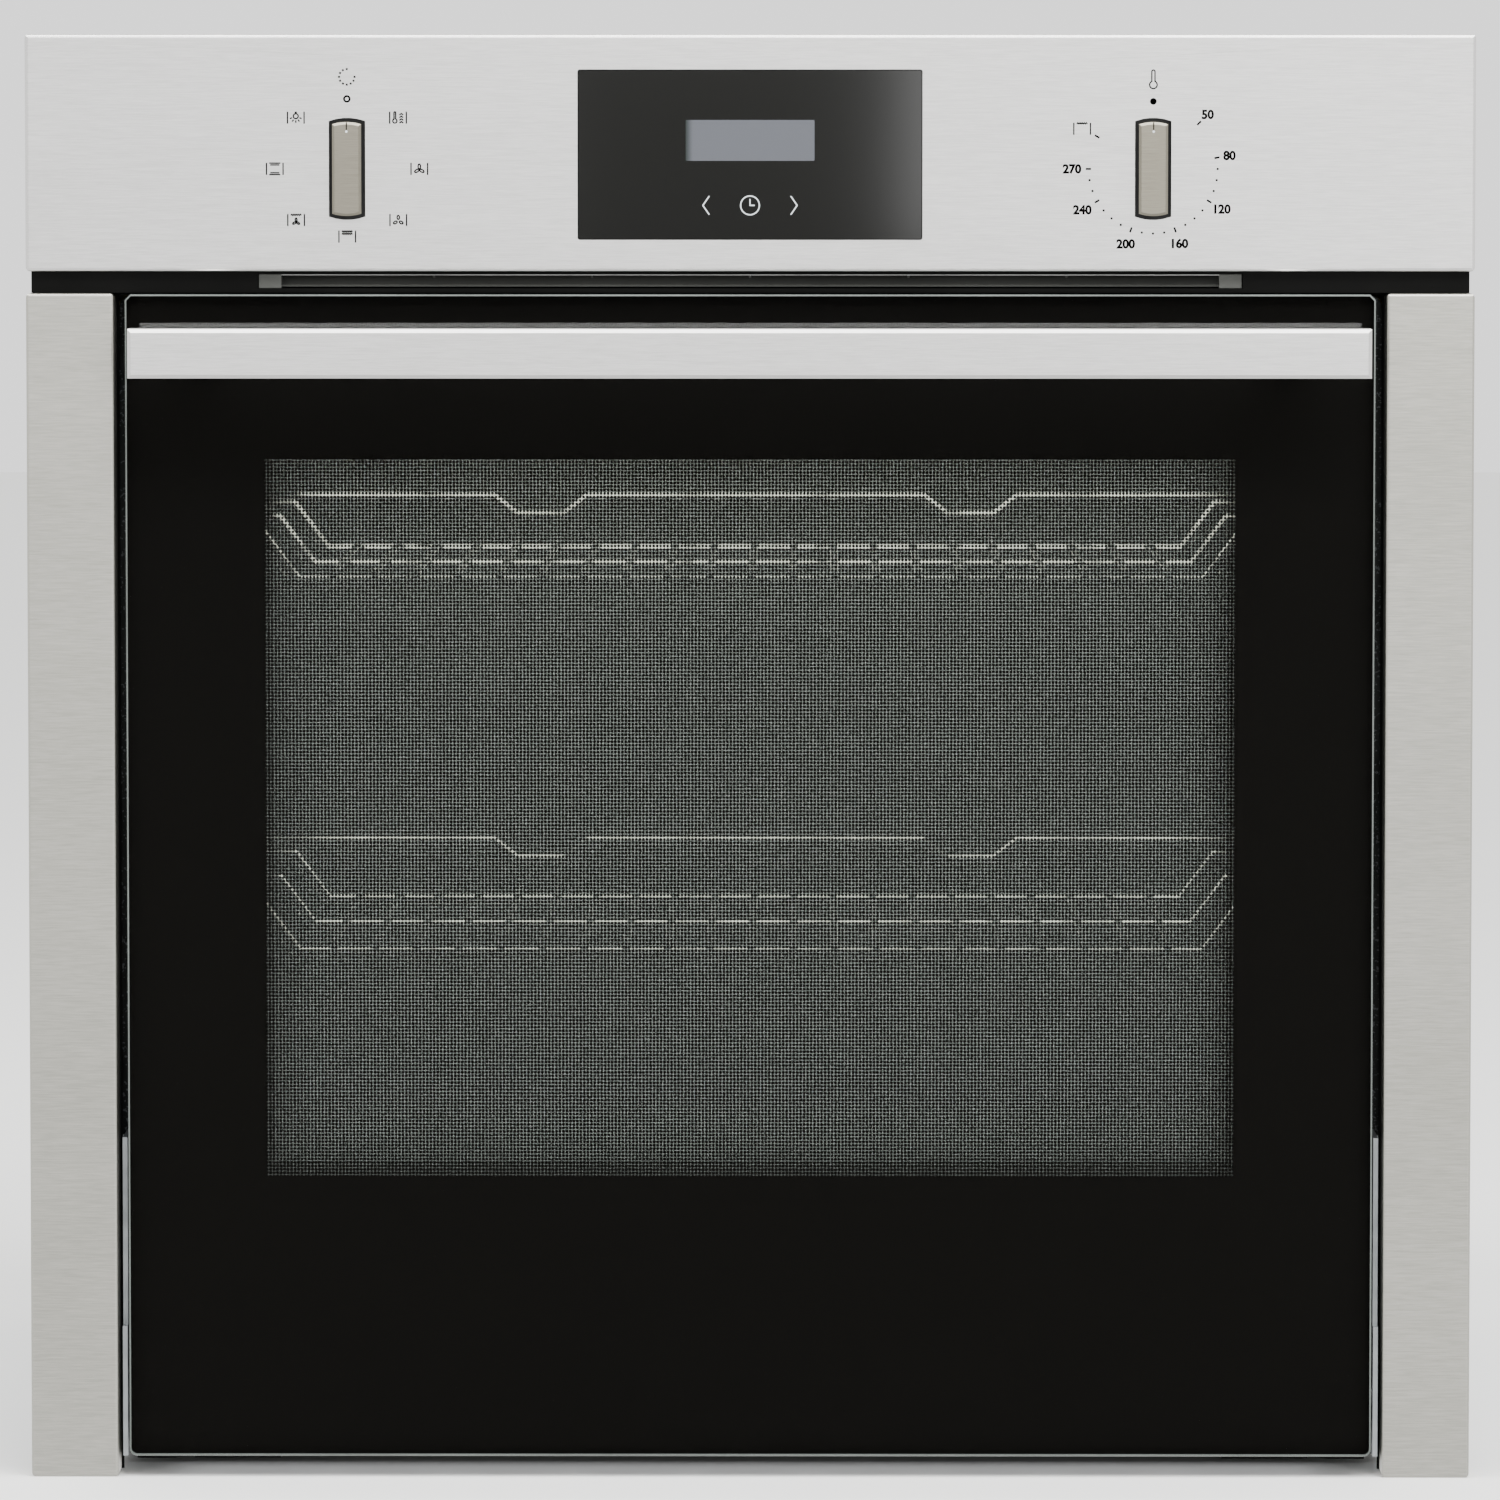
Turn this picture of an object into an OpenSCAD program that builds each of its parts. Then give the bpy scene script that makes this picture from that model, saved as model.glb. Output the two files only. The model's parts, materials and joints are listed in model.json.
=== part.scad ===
// Built-in single wall oven with a slide-away door.
// The door tips down level about its lower edge and then slides into a bay under the cavity.
// Lengths are in millimetres. Modules are drawn with y = 0 on the face of the kitchen cabinet,
// +Y into the cabinet, and z = 0 on the shelf that the oven stands on.

/* [Front] */
// Overall width of the front
front_w = 594; // [592:1:596]
// Overall height of the front
front_h = 595; // [594:1:598]
// How far the front stands out from the cabinet face
front_t = 20; // [19:0.5:22]
// Height of the control panel
panel_h = 97; // [96:0.5:98]
// Height of the dark air gap between the panel and the door
vent_h = 9; // [8:0.5:10]
// Width of each side trim
trim_w = 36; // [34:0.5:37]

/* [Body] */
// Depth of the body behind the cabinet face
body_d = 527.5; // [520:0.5:540]
// Width of the casing
body_w = 534; // [532:1:536]
// Height of the top of the casing
casing_top_z = 581; // [578:1:585]
// Sheet steel thickness of the casing
sheet = 1; // [0.8:0.1:1.2]

/* [Door] */
// Width of the outer door glass
door_w = 513; // [511:0.5:514]
// Height of the lower edge of the outer glass
door_z = 8.7; // [8.5:0.1:9.5]
// Height of the outer door glass
door_h = 479.9; // [478:0.1:480]
// Thickness of the outer glass
glass_t = 4; // [3:0.5:4]

/* [Handle] */
// Length of the handle bar
handle_l = 505; // [480:1:510]
// Height of the handle bar
handle_h = 20; // [18:0.5:24]
// Front to back thickness of the handle bar
handle_t = 17; // [14:0.5:20]
// Finger room between the glass and the bar
handle_gap = 28; // [26:0.5:32]
// Height of the middle of the bar
handle_z = 465.7; // [460:0.1:466]
// Distance of each post from the middle
handle_post_x = 222; // [200:1:230]

/* [Cavity] */
// Inside width
cavity_w = 480; // [478:1:480]
// Inside height
cavity_h = 357; // [355:1:357]
// Inside depth
cavity_d = 415; // [410:1:415]
// Height of the cavity floor
cavity_z = 108; // [108:1:109]
// Wall thickness of the enamelled steel
muffle_t = 1.5; // [1.2:0.1:1.5]

/* [Controls] */
// Distance of each knob from the middle
knob_x = 165; // [155:1:170]
// Height of the knobs and the display
control_z = 540; // [538:1:546]
// Width of the bar knobs
knob_w = 11.8; // [11:0.1:12.5]
// Length of the bar knobs
knob_l = 38.4; // [36:0.1:39]
// Width of the display glass
display_w = 140.5; // [136:0.5:142]
// Height of the display glass
display_h = 68.9; // [66:0.1:70]

/* [Shelves] */
// Height of the rim of the lower wire shelf
lower_shelf_z = 230; // [178:52:282]
// Distance between the grid wires of a shelf
grid_step = 17.5; // [16:0.5:19]

/* [Hidden] */
$fn = 48;

// the whole part is moved so that the middle of its footprint stands at y = 0
handle_reach = front_t + handle_gap + handle_t;
cabinet_y = (handle_reach - body_d) / 2;

panel_z = front_h - panel_h;
vent_z = panel_z - vent_h + 0.2;
trim_h = panel_z - vent_h;
trim_x = front_w / 2 - trim_w;
frame_t = 1.5;
cover_t = front_t - frame_t;
fascia_t = cover_t + 1;
cover_wall = 1.2;
fix_x = 288;
fix_z = [75, 450];
side_x = body_w / 2 - sheet;
back_y = body_d - 12.5;
cavity_y = 25;
muffle_r = 12;
fan_z = 272;
door_half = 20;
pivot_z = 32;
upper_shelf_z = 386;
level_step = 52;
// the frame is thinner behind the casing, so that only its outer flange meets the cabinet
seat_y = -0.5;
seat_x = 268;
seat_top = casing_top_z + 1;
vent_half = 202;
element_r = 3.2;
grill_z = cavity_z + 340;
base_heat_z = cavity_z - 8.5;
carrier_x = 251.8;
bracket_x = 257.5;
bracket_t = 2;
roller_r = 6.6;
rack_y = [75, 385];
rack_r = 2.4;
glass_edge = door_w / 2;
profile_x = 236;
rail_x = 247;
bay_x = 257.8;
bay_z = 57;
bay_back = 446;
wire_x = 227;
shelf_front = 60;
shelf_back = 392;
sink = 20;
slot_r = 20.9;
slot_w = 14.9;
display_z = control_z + 5.8 - display_h / 2;

// the middle of the footprint is the origin
module placed() {
    translate([0, cabinet_y, 0]) children();
}
// a flat outline in x and z stood up, from y to y + t
module standing(y, t) {
    translate([0, y + t, 0]) rotate([90, 0, 0]) linear_extrude(t) children();
}
// a flat outline in y and z carried along x, from x to x + w
module across(x, w) {
    translate([x, 0, 0]) rotate([90, 0, 90]) linear_extrude(w) children();
}
module both_sides() {
    children();
    mirror([1, 0, 0]) children();
}
// a box from its low corner to its high corner
module block(low, high) {
    translate(low) cube(high - low);
}
// a cylinder along y from y to y + l
module rod_y(x, y, z, r, l) {
    translate([x, y + l, z]) rotate([90, 0, 0]) cylinder(h = l, r = r);
}
// a cylinder along x from x to x + l
module rod_x(x, y, z, r, l) {
    translate([x, y, z]) rotate([0, 90, 0]) cylinder(h = l, r = r);
}
// a straight wire between two points that share the same y
module slant(x1, z1, x2, z2, y, r) {
    translate([x1, y, z1]) rotate([0, atan2(x2 - x1, z2 - z1), 0])
        cylinder(h = norm([x2 - x1, z2 - z1]), r = r);
}
module round_rect(w, h, r) {
    translate([r - w / 2, 0]) square([w - 2 * r, h]);
    translate([-w / 2, r]) square([w, h - 2 * r]);
    for (sx = [-1, 1], z = [r, h - r])
        translate([sx * (w / 2 - r), z]) circle(r);
}
// an outline d by w with its front corners rounded by r
module soft_front(d, w, r) {
    translate([r, 0]) square([d - r, w]);
    translate([0, r]) square([d, w - 2 * r]);
    for (z = [r, w - r])
        translate([r, z]) circle(r);
}
// a sheet cover open at the back, with folded edges, its front at y = 0
module folded_cover(w, h, d, corner_r, fold_r) {
    difference() {
        intersection() {
            standing(0, d) round_rect(w, h, corner_r);
            across(-w / 2, w) soft_front(d, h, fold_r);
            translate([w / 2, 0, 0]) rotate([0, 0, 90]) linear_extrude(h) soft_front(d, w, fold_r);
        }
        block([cover_wall - w / 2, cover_wall, cover_wall],
            [w / 2 - cover_wall, d + 1, h - cover_wall]);
    }
}
// the long shape with arc ends that the knobs and their wells share
module bar_shape(d, w) {
    intersection() {
        circle(d = d);
        square([w, d + 2], center = true);
    }
}

// ---- control panel ----
module control_panel_fascia() color("gainsboro") {
    difference() {
        translate([0, -front_t - 1, panel_z])
            folded_cover(front_w, panel_h, fascia_t, 2, 1.6);
        standing(-front_t - 2, 4) translate([0, display_z - 0.4])
            round_rect(display_w + 0.8, display_h + 0.8, 1);
        for (sx = [-1, 1])
            standing(-front_t - 2, 4) translate([sx * knob_x, control_z]) bar_shape(2 * slot_r, slot_w);
    }
}
module panel_carrier() color("dimgray") {
    difference() {
        union() {
            block([-294, -13, panel_z + 4], [294, -10.5, front_h - 4]);
            difference() {
                block([-294, -10.5, panel_z + 4], [294, -frame_t, front_h - 4]);
                block([-292, -11, panel_z + 6], [292, 0, front_h - 6]);
            }
            for (sx = [-1, 1], dx = [-15, 15], dz = [-15, 15])
                rod_y(sx * knob_x + dx, -11, control_z + dz, 2.5, 14);
        }
        block([-69, -14, display_z + 3], [69, 0, display_z + display_h - 3]);
        for (sx = [-1, 1])
            rod_y(sx * knob_x, -14, control_z, 6.4, 5);
    }
}
module display_glass() color("darkslategray") {
    standing(-front_t - 1, 3) translate([0, display_z]) round_rect(display_w, display_h, 0.8);
}
module display_module() color("black") {
    difference() {
        block([-68, -18, display_z + 4], [68, -5, display_z + display_h - 4]);
        block([-60, -17, display_z + 10], [60, 0, display_z + display_h - 10]);
    }
    block([-27, -17, display_z + 31.5], [27, -15.5, display_z + 49]);
}
module control_board() color("darkgreen") {
    block([-105, -5, control_z - 34], [105, -3.4, control_z + 38]);
    for (x = [-90, -66, 60, 84])
        block([x, -3.4, control_z - 10], [x + 16, 6, control_z + 14]);
    block([-20, -3.4, control_z - 4], [12, -0.8, control_z + 24]);
}
module knob_bezels() color("black") {
    for (sx = [-1, 1])
        translate([sx * knob_x, 0, control_z])
            difference() {
                standing(-front_t + 0.2, 6.8) bar_shape(2 * slot_r + 3, slot_w + 3);
                standing(-front_t, 5.7) bar_shape(2 * slot_r, slot_w);
                rod_y(0, -16, 0, 5.4, 4);
            }
}
// a bar knob: cap, round stem, blind bore for the shaft, and a groove that points to the mark
module knob() {
    difference() {
        union() {
            standing(-front_t - 6.5, 5) bar_shape(knob_l, knob_w);
            rod_y(0, -front_t - 2, 0, 5, 19);
        }
        rod_y(0, -front_t - 5, 0, 3.05, 23);
        block([-0.4, -front_t - 7, knob_l / 2 - 8], [0.4, -front_t - 6, knob_l / 2 - 2.5]);
    }
}
module function_knob() color("rosybrown") {
    translate([-knob_x, 0, control_z]) knob();
}
module temperature_knob() color("rosybrown") {
    translate([knob_x, 0, control_z]) knob();
}
// the shaft is round, with a collar that keeps it in the selector
module shaft(x) {
    rod_y(x, 0.6 - front_t, control_z, 3, 31.4);
    rod_y(x, 8, control_z, 5, 2);
}
module function_shaft() color("silver") shaft(-knob_x);
module temperature_shaft() color("silver") shaft(knob_x);
module rotary_selectors() color("ivory") {
    for (sx = [-1, 1])
        difference() {
            union() {
                block([sx * knob_x - 20, 3, control_z - 20], [sx * knob_x + 20, 28, control_z + 20]);
                for (z = [-12, -4, 4, 12])
                    block([sx * knob_x - 8, 28, control_z + z], [sx * knob_x + 8, 34, control_z + z + 1]);
            }
            rod_y(sx * knob_x, 2, control_z, 3.05, 11);
            rod_y(sx * knob_x, 7.8, control_z, 5.2, 2.6);
        }
}

// ---- fixed front ----
module side_trim(x) {
    translate([x, -front_t, 0]) folded_cover(trim_w, trim_h, cover_t, 2, 1.2);
}
module left_side_trim() color("silver") side_trim(-trim_x - trim_w / 2);
module right_side_trim() color("silver") side_trim(trim_x + trim_w / 2);
module front_frame() color("black") {
    difference() {
        standing(-frame_t, frame_t) translate([0, 1]) round_rect(front_w - 4, front_h - 3, 2);
        block([-260, -3, -1], [260, 1, trim_h - 1]);
        block([-250, -3, panel_z + 6], [250, 1, casing_top_z - 4]);
        block([-vent_half, -3, vent_z + 1.8], [vent_half, 1, vent_z + 7.6]);
        block([-seat_x, seat_y, 0], [seat_x, 1, seat_top]);
        for (sx = [-1, 1], z = fix_z)
            rod_y(sx * fix_x, -3, z, 2.75, 5);
    }
}
module vent_crossbar() color("black") {
    difference() {
        block([-295, -16, vent_z], [295, -frame_t, panel_z]);
        block([-vent_half, -17, vent_z + 1.8], [vent_half, 1, vent_z + 7.6]);
    }
}
module air_outlet_louvre() color("dimgray") {
    for (sx = [-1, 1])
        block([sx * 197 - 4.6, -15, vent_z + 1.9], [sx * 197 + 4.6, -4, vent_z + 7.5]);
    across(-193, 386) translate([0, vent_z])
        polygon([[-12, 2.4], [-5, 6.2], [-5, 7], [-12, 3.2]]);
    for (x = [-130 : 65 : 130])
        block([x - 0.5, -7, vent_z + 4.6], [x + 0.5, -4, vent_z + 7.5]);
}

// ---- door hinges and the bay that takes the door ----
module hinge_brackets() color("lightsteelblue") {
    both_sides() difference() {
        union() {
            block([bracket_x, -14, 8], [bracket_x + bracket_t, 23.5, 62]);
            block([bracket_x, -10, 62], [bracket_x + bracket_t, 23.5, 140]);
            block([bracket_x + bracket_t, seat_y, 8], [265.5, 1, 140]);
        }
        rod_x(250, 0, pivot_z, 4.05, 12);
        rod_x(250, 6, 81, 2.6, 12);
        rod_x(250, 6, 132, 2.6, 12);
    }
}
module slot_rails() color("lightsteelblue") {
    both_sides() {
        block([256.8, 24, 8], [bay_x, 445, bay_z]);
        block([253.5, 24, 24], [257, 445, 25.6]);
        block([253.5, 24, 38.4], [257, 445, 40]);
    }
}
module door_bay_roof() color("lightsteelblue") {
    block([-bay_x, 30, bay_z], [bay_x, bay_back, bay_z + 1]);
    block([-bay_x, bay_back - 1, 8], [bay_x, bay_back, bay_z + 1]);
}
// torsion springs round the pivots, each with one leg hooked into its bracket
module hinge_springs() color("slategray") {
    wire_r = 0.7;
    coil_r = 6;
    coil_x = [254.8, 256.4];
    both_sides() {
        for (x = coil_x)
            translate([x, 0, pivot_z]) rotate([0, 90, 0])
                rotate_extrude() translate([coil_r, 0]) circle(wire_r);
        rod_x(coil_x[0], coil_r, pivot_z, wire_r, coil_x[1] - coil_x[0]);
        translate([coil_x[1], coil_r, pivot_z]) cylinder(h = 20, r = wire_r);
        rod_x(coil_x[1], coil_r, pivot_z + 19.3, wire_r, bracket_x - coil_x[1]);
    }
}
module hinge_carriers() color("silver") {
    both_sides() {
        block([carrier_x, -6, 24], [carrier_x + 1.8, 6, 52]);
        rod_x(carrier_x, 0, 25, 6, 1.8);
        rod_x(carrier_x, 0, 52, 6, 1.8);
        rod_x(carrier_x + 0.2, 0, pivot_z, 4, 7.9);
        for (z = [27, 50])
            rod_x(248.5, 0, z, 1.5, 3.6);
    }
}
module carrier_rollers() color("whitesmoke") {
    both_sides() for (z = [27, 50])
        difference() {
            rod_x(248.3, 0, z, roller_r, 2.1);
            rod_x(248, 0, z, 1.55, 3);
        }
}
module door_end_rollers() color("whitesmoke") {
    both_sides() {
        rod_x(241, 0, 16, 2, 14);
        rod_x(253.9, 0, 16, 6, 2.3);
    }
}

// ---- door ----
module door_outer_glass() color("black") {
    chamfer = 2.3;
    difference() {
        standing(-front_t, glass_t) translate([0, door_z]) intersection() {
            round_rect(door_w, door_h + 10, 3);
            polygon([[-glass_edge, 0], [glass_edge, 0], [glass_edge, door_h - chamfer],
                [glass_edge - chamfer, door_h], [chamfer - glass_edge, door_h],
                [-glass_edge, door_h - chamfer]]);
        }
        for (sx = [-1, 1])
            rod_y(sx * handle_post_x, -front_t - 1, handle_z, 3, 6);
    }
}
module door_middle_glass() color("lightcyan") {
    block([-230, -3, 26], [230, 0, 468]);
}
module door_inner_glass() color("lightcyan") {
    block([-246, 16, 12], [246, door_half, 483]);
}
module door_side_profiles() color("silver") {
    both_sides() difference() {
        block([profile_x, -16, 11], [rail_x, 16, 482]);
        block([profile_x + 1.5, -14.5, 0], [rail_x - 1.5, 14.5, 490]);
        rod_x(230, 0, 16, 2.05, 30);
    }
}
module door_rails() color("silver") {
    both_sides() {
        block([rail_x, -8, 19], [248, 8, 478]);
        for (sy = [-1, 1]) {
            block([rail_x, sy * 7.5 - 0.5, 19], [251.4, sy * 7.5 + 0.5, 478]);
            block([250.7, sy * 6.5 - 1.2, 19], [251.4, sy * 6.5 + 1.2, 478]);
        }
    }
}
// a long box section with air slots, between the side profiles
module door_end_profile(z1, z2) {
    difference() {
        block([-profile_x, -16, z1], [profile_x, 16, z2]);
        block([-profile_x - 1, -14.5, z1 + 1.5], [profile_x + 1, 14.5, z2 - 1.5]);
        for (x = [-200 : 50 : 200])
            block([x - 18, -11, z1 - 1], [x + 18, -7, z2 + 1]);
    }
}
module door_top_profile() color("silver") door_end_profile(471, 482);
module door_bottom_profile() color("silver") door_end_profile(11, 24);
module handle_bar() color("gainsboro") {
    c = 1.5;
    half = handle_h / 2;
    y = -front_t - handle_gap - handle_t;
    translate([0, y, handle_z]) intersection() {
        across(-handle_l / 2, handle_l)
            polygon([[0, c - half], [c, -half], [handle_t, -half],
                [handle_t, half], [c, half], [0, half - c]]);
        translate([0, 0, -half]) linear_extrude(handle_h)
            polygon([[-handle_l / 2, c], [c - handle_l / 2, 0], [handle_l / 2 - c, 0], [handle_l / 2, c],
                [handle_l / 2, handle_t], [-handle_l / 2, handle_t]]);
    }
}
module handle_posts() color("gainsboro") {
    for (sx = [-1, 1])
        translate([sx * handle_post_x, 0, 0]) difference() {
            standing(-front_t - handle_gap, handle_gap) translate([0, handle_z - 7]) round_rect(14, 14, 3);
            rod_y(0, -front_t - 20, handle_z, 2.5, 21);
        }
}
module handle_screws() color("silver") {
    for (sx = [-1, 1])
        translate([sx * handle_post_x, 0, 0]) difference() {
            union() {
                rod_y(0, -front_t - 18, handle_z, 2.45, 22.5);
                rod_y(0, glass_t - front_t, handle_z, 4.5, 3);
            }
            rod_y(0, glass_t - front_t + 1.2, handle_z, 1.5, 3);
        }
}

// ---- cavity ----
module cavity_outline(grow) {
    translate([0, cavity_z - grow]) round_rect(cavity_w + 2 * grow, cavity_h + 2 * grow, muffle_r + grow);
}
module oven_cavity() color("dimgray") {
    rear = cavity_y + cavity_d;
    difference() {
        union() {
            standing(cavity_y, cavity_d + muffle_t) cavity_outline(muffle_t);
            standing(cavity_y, muffle_t) translate([0, bay_z + 1]) round_rect(524, 429, 6);
        }
        standing(cavity_y - 1, cavity_d + 1) cavity_outline(0);
        rod_y(0, rear - 1, fan_z, 7, 4);
        for (sx = [-1, 1]) {
            rod_y(sx * 12, rear - 1, fan_z - 88, 3.6, 4);
            rod_y(sx * 150, rear - 1, grill_z, 3.6, 4);
        }
        rod_y(-175, rear - 1, 420, 15, 4);
        rod_y(175, rear - 1, 430, 2.2, 4);
    }
}
module door_seal() color("darkslategray") {
    standing(door_half + 0.3, cavity_y - door_half - 0.3) difference() {
        cavity_outline(9);
        cavity_outline(3);
    }
}
// a ladder of wire runners hung on one side wall
module side_rack() {
    for (y = rack_y)
        translate([235, y, 150]) cylinder(h = 272, r = rack_r);
    for (level = [0 : 4], dz = [-4.6, 8])
        rack_runner(230.8, upper_shelf_z - level * level_step + dz);
    for (y = rack_y, z = [160, 412])
        rod_x(235, y, z, 2, 5);
}
// one runner along y with rounded ends, welded to the uprights
module rack_runner(x, z) {
    rod_y(x, 62, z, rack_r, 336);
    for (y = [62, 398])
        translate([x, y, z]) sphere(rack_r);
}
module left_side_rack() color("silver") mirror([1, 0, 0]) side_rack();
module right_side_rack() color("silver") side_rack();
// a bar across the shelf that drops from the rim to the grid
module dropped_bar(z, y, r) {
    rod_x(4 - wire_x, y, z, r, 18);
    rod_x(wire_x - 22, y, z, r, 18);
    for (sx = [-1, 1]) {
        slant(sx * (wire_x - 22), z, sx * 190, z - sink, y, r);
        for (p = [[wire_x - 22, 0], [190, sink]])
            translate([sx * p[0], y, z - p[1]]) sphere(r);
    }
    rod_x(-190, y, z - sink, r, 380);
}
// the back rod of a shelf, with two shallow dips that a hand can reach under
module back_rod(z, y, r) {
    dip_x = 97;
    dip_top = 21.5;
    dip_low = 11;
    dip_h = 8.2;
    rod_x(dip_top - dip_x, y, z, r, 2 * (dip_x - dip_top));
    for (sx = [-1, 1]) {
        rod_x(sx > 0 ? dip_x + dip_top : -wire_x, y, z, r, wire_x - dip_x - dip_top);
        rod_x(sx * dip_x - dip_low, y, z - dip_h, r, 2 * dip_low);
        for (side = [-1, 1]) {
            slant(sx * dip_x + side * dip_top, z, sx * dip_x + side * dip_low, z - dip_h, y, r);
            translate([sx * dip_x + side * dip_top, y, z]) sphere(r);
            translate([sx * dip_x + side * dip_low, y, z - dip_h]) sphere(r);
        }
    }
}
module wire_shelf(z) {
    for (sx = [-1, 1]) {
        rod_y(sx * wire_x, shelf_front, z, 3, shelf_back - shelf_front);
        for (y = [shelf_front, shelf_back])
            translate([sx * wire_x, y, z]) sphere(3);
        rod_x(sx > 0 ? wire_x - 4 : -wire_x, shelf_front, z, 2.6, 4);
    }
    back_rod(z, shelf_back, 2.8);
    for (y = [shelf_front, 190, 320])
        dropped_bar(z, y, 2.6);
    for (y = [190, 320], sx = [-1, 1])
        rod_x(sx > 0 ? wire_x - 5 : -wire_x, y, z, 2.6, 5);
    for (i = [-10 : 10])
        rod_y(i * grid_step, shelf_front - 4, z - sink + 3.6, 1.6, 316);
}
module upper_wire_shelf() color("silver") wire_shelf(upper_shelf_z);
module lower_wire_shelf() color("silver") wire_shelf(lower_shelf_z);
module fan_cover() color("dimgray") {
    cover_y = 405;
    cover_z = 132;
    cover_w = 414;
    cover_h = 260;
    cover_r = 20;
    steel_t = 1.2;
    slot_x = 194;
    hole_step = 13;
    hole_r = 3.2;
    difference() {
        standing(cover_y, cavity_y + cavity_d - cover_y)
            translate([0, cover_z]) round_rect(cover_w, cover_h, cover_r);
        standing(cover_y + steel_t, 60) translate([0, cover_z + steel_t])
            round_rect(cover_w - 2 * steel_t, cover_h - 2 * steel_t, cover_r - steel_t);
        for (ring = [1 : 4], i = [0 : 6 * ring - 1])
            translate([0, 0, fan_z]) rotate([0, i * 60 / ring, 0])
                rod_y(0, cover_y - 5, hole_step * ring, hole_r, 10);
        for (sx = [-1, 1], z = [165 : 24 : 360])
            block([sx * slot_x - 3, cover_y - 5, z], [sx * slot_x + 3, cover_y + 5, z + 14]);
    }
}
module convection_fan() color("silver") {
    rod_y(0, 412, fan_z, 12, 20);
    rod_y(0, 430, fan_z, 72, 1.2);
    rod_y(0, 430, fan_z, 4, 52);
    for (i = [0 : 11])
        translate([0, 0, fan_z]) rotate([0, 30 * i, 0]) translate([56, 0, 0]) rotate([0, 35, 0])
            block([-13, 414, -0.6], [13, 430.5, 0.6]);
}
module ring_heater() color("slategray") {
    ring_r = 88;
    translate([0, 424, fan_z]) rotate([90, 0, 0]) rotate_extrude() translate([ring_r, 0]) circle(element_r);
    for (sx = [-1, 1])
        rod_y(sx * 12, 422, fan_z - ring_r, element_r, 38);
}
// half a ring of heater rod lying flat, its open side towards +Y when turned by 180
module rod_bend(x, y, z, radius, turn) {
    translate([x, y, z]) rotate([0, 0, turn])
        rotate_extrude(angle = 180) translate([radius, 0]) circle(element_r);
}
module grill_element() color("slategray") {
    for (sx = [-1, 1]) {
        rod_y(sx * 150, 70, grill_z, element_r, 390);
        rod_y(sx * 90, 70, grill_z, element_r, 310);
        rod_y(sx * 30, 70, grill_z, element_r, 310);
        rod_bend(sx * 120, 70, grill_z, 30, 180);
        rod_bend(sx * 60, 380, grill_z, 30, 0);
    }
    rod_bend(0, 70, grill_z, 30, 180);
}
module bottom_element() color("slategray") {
    for (sx = [-1, 1]) {
        rod_y(sx * 150, 90, base_heat_z, element_r, 370);
        rod_y(sx * 90, 90, base_heat_z, element_r, 220);
        rod_bend(sx * 120, 90, base_heat_z, 30, 180);
    }
    rod_bend(0, 310, base_heat_z, 90, 0);
}
module lamp_lens() color("lightyellow") {
    difference() {
        union() {
            rod_y(-175, 431, 420, 20, 8.9);
            rod_y(-175, 437, 420, 23, 2.9);
        }
        rod_y(-175, 434, 420, 17, 6);
    }
}
module lamp_holder() color("ivory") {
    rod_y(-175, 435, 420, 6.5, 20);
    rod_y(-175, 441.6, 420, 14, 24);
}
module temperature_probe() color("silver") {
    rod_y(175, 380, 430, 2, 75);
    translate([175, 380, 430]) sphere(2);
    rod_y(175, 441.6, 430, 6, 4);
}
module cavity_insulation() color("khaki") {
    difference() {
        standing(27, 434) translate([0, 59]) round_rect(524, 428, 4);
        standing(26, 415.6) translate([0, 90]) round_rect(cavity_w + 5, 378, 13.5);
        rod_y(0, 440, fan_z, 10, 30);
        for (sx = [-1, 1]) {
            rod_y(sx * 12, 440, fan_z - 88, 4, 30);
            rod_y(sx * 150, 440, grill_z, 4, 30);
            rod_y(sx * 150, 440, base_heat_z, 4, 30);
        }
        rod_y(-175, 440, 420, 15, 30);
        rod_y(175, 440, 430, 7, 30);
    }
}

// ---- rear and top compartments ----
module convection_motor() color("slategray") {
    difference() {
        union() {
            block([-50, 462, fan_z - 50], [50, 465, fan_z + 50]);
            rod_y(0, 465, fan_z, 35, 42);
            block([-22, 470, fan_z - 44], [22, 500, fan_z + 44]);
        }
        rod_y(0, 460, fan_z, 4.05, 23);
    }
}
module motor_cover() color("lightgray") {
    difference() {
        standing(back_y, 12.5) translate([0, fan_z - 70]) round_rect(140, 140, 12);
        standing(back_y - 1, 12.5) translate([0, fan_z - 69]) round_rect(138, 138, 11);
        for (z = [-50 : 12.5 : 50])
            block([-40, back_y, fan_z + z - 2], [40, back_y + 20, fan_z + z + 2]);
    }
}
module cooling_fan() color("dimgray") {
    translate([0, 260, 504]) {
        difference() {
            cylinder(h = 26, r = 62);
            translate([0, 0, 1.5]) cylinder(h = 40, r = 58);
        }
        cylinder(h = 26, r = 10);
        cylinder(h = 52, r = 3);
        for (i = [0 : 17])
            rotate([0, 0, 20 * i]) block([40, -0.6, 1], [59, 0.6, 25]);
    }
}
module cooling_fan_housing() color("lightgray") {
    translate([0, 260, 502]) difference() {
        union() {
            cylinder(h = 36, r = 72);
            cylinder(h = 66, r = 28);
        }
        translate([0, 0, 1]) cylinder(h = 32, r = 68);
        translate([0, 0, -1]) cylinder(h = 10, r = 50);
        translate([0, 0, 30]) cylinder(h = 26, r = 3.05);
        for (i = [0 : 7])
            rotate([0, 0, 45 * i]) translate([48, 0, 30]) cylinder(h = 10, r = 8);
    }
}
module air_duct() color("lightgray") {
    difference() {
        block([-206, seat_y, 488.5], [206, 340, 502]);
        block([-205, -1, 489.5], [205, 339, 501]);
        translate([0, 260, 495]) cylinder(h = 20, r = 50);
    }
}
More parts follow.
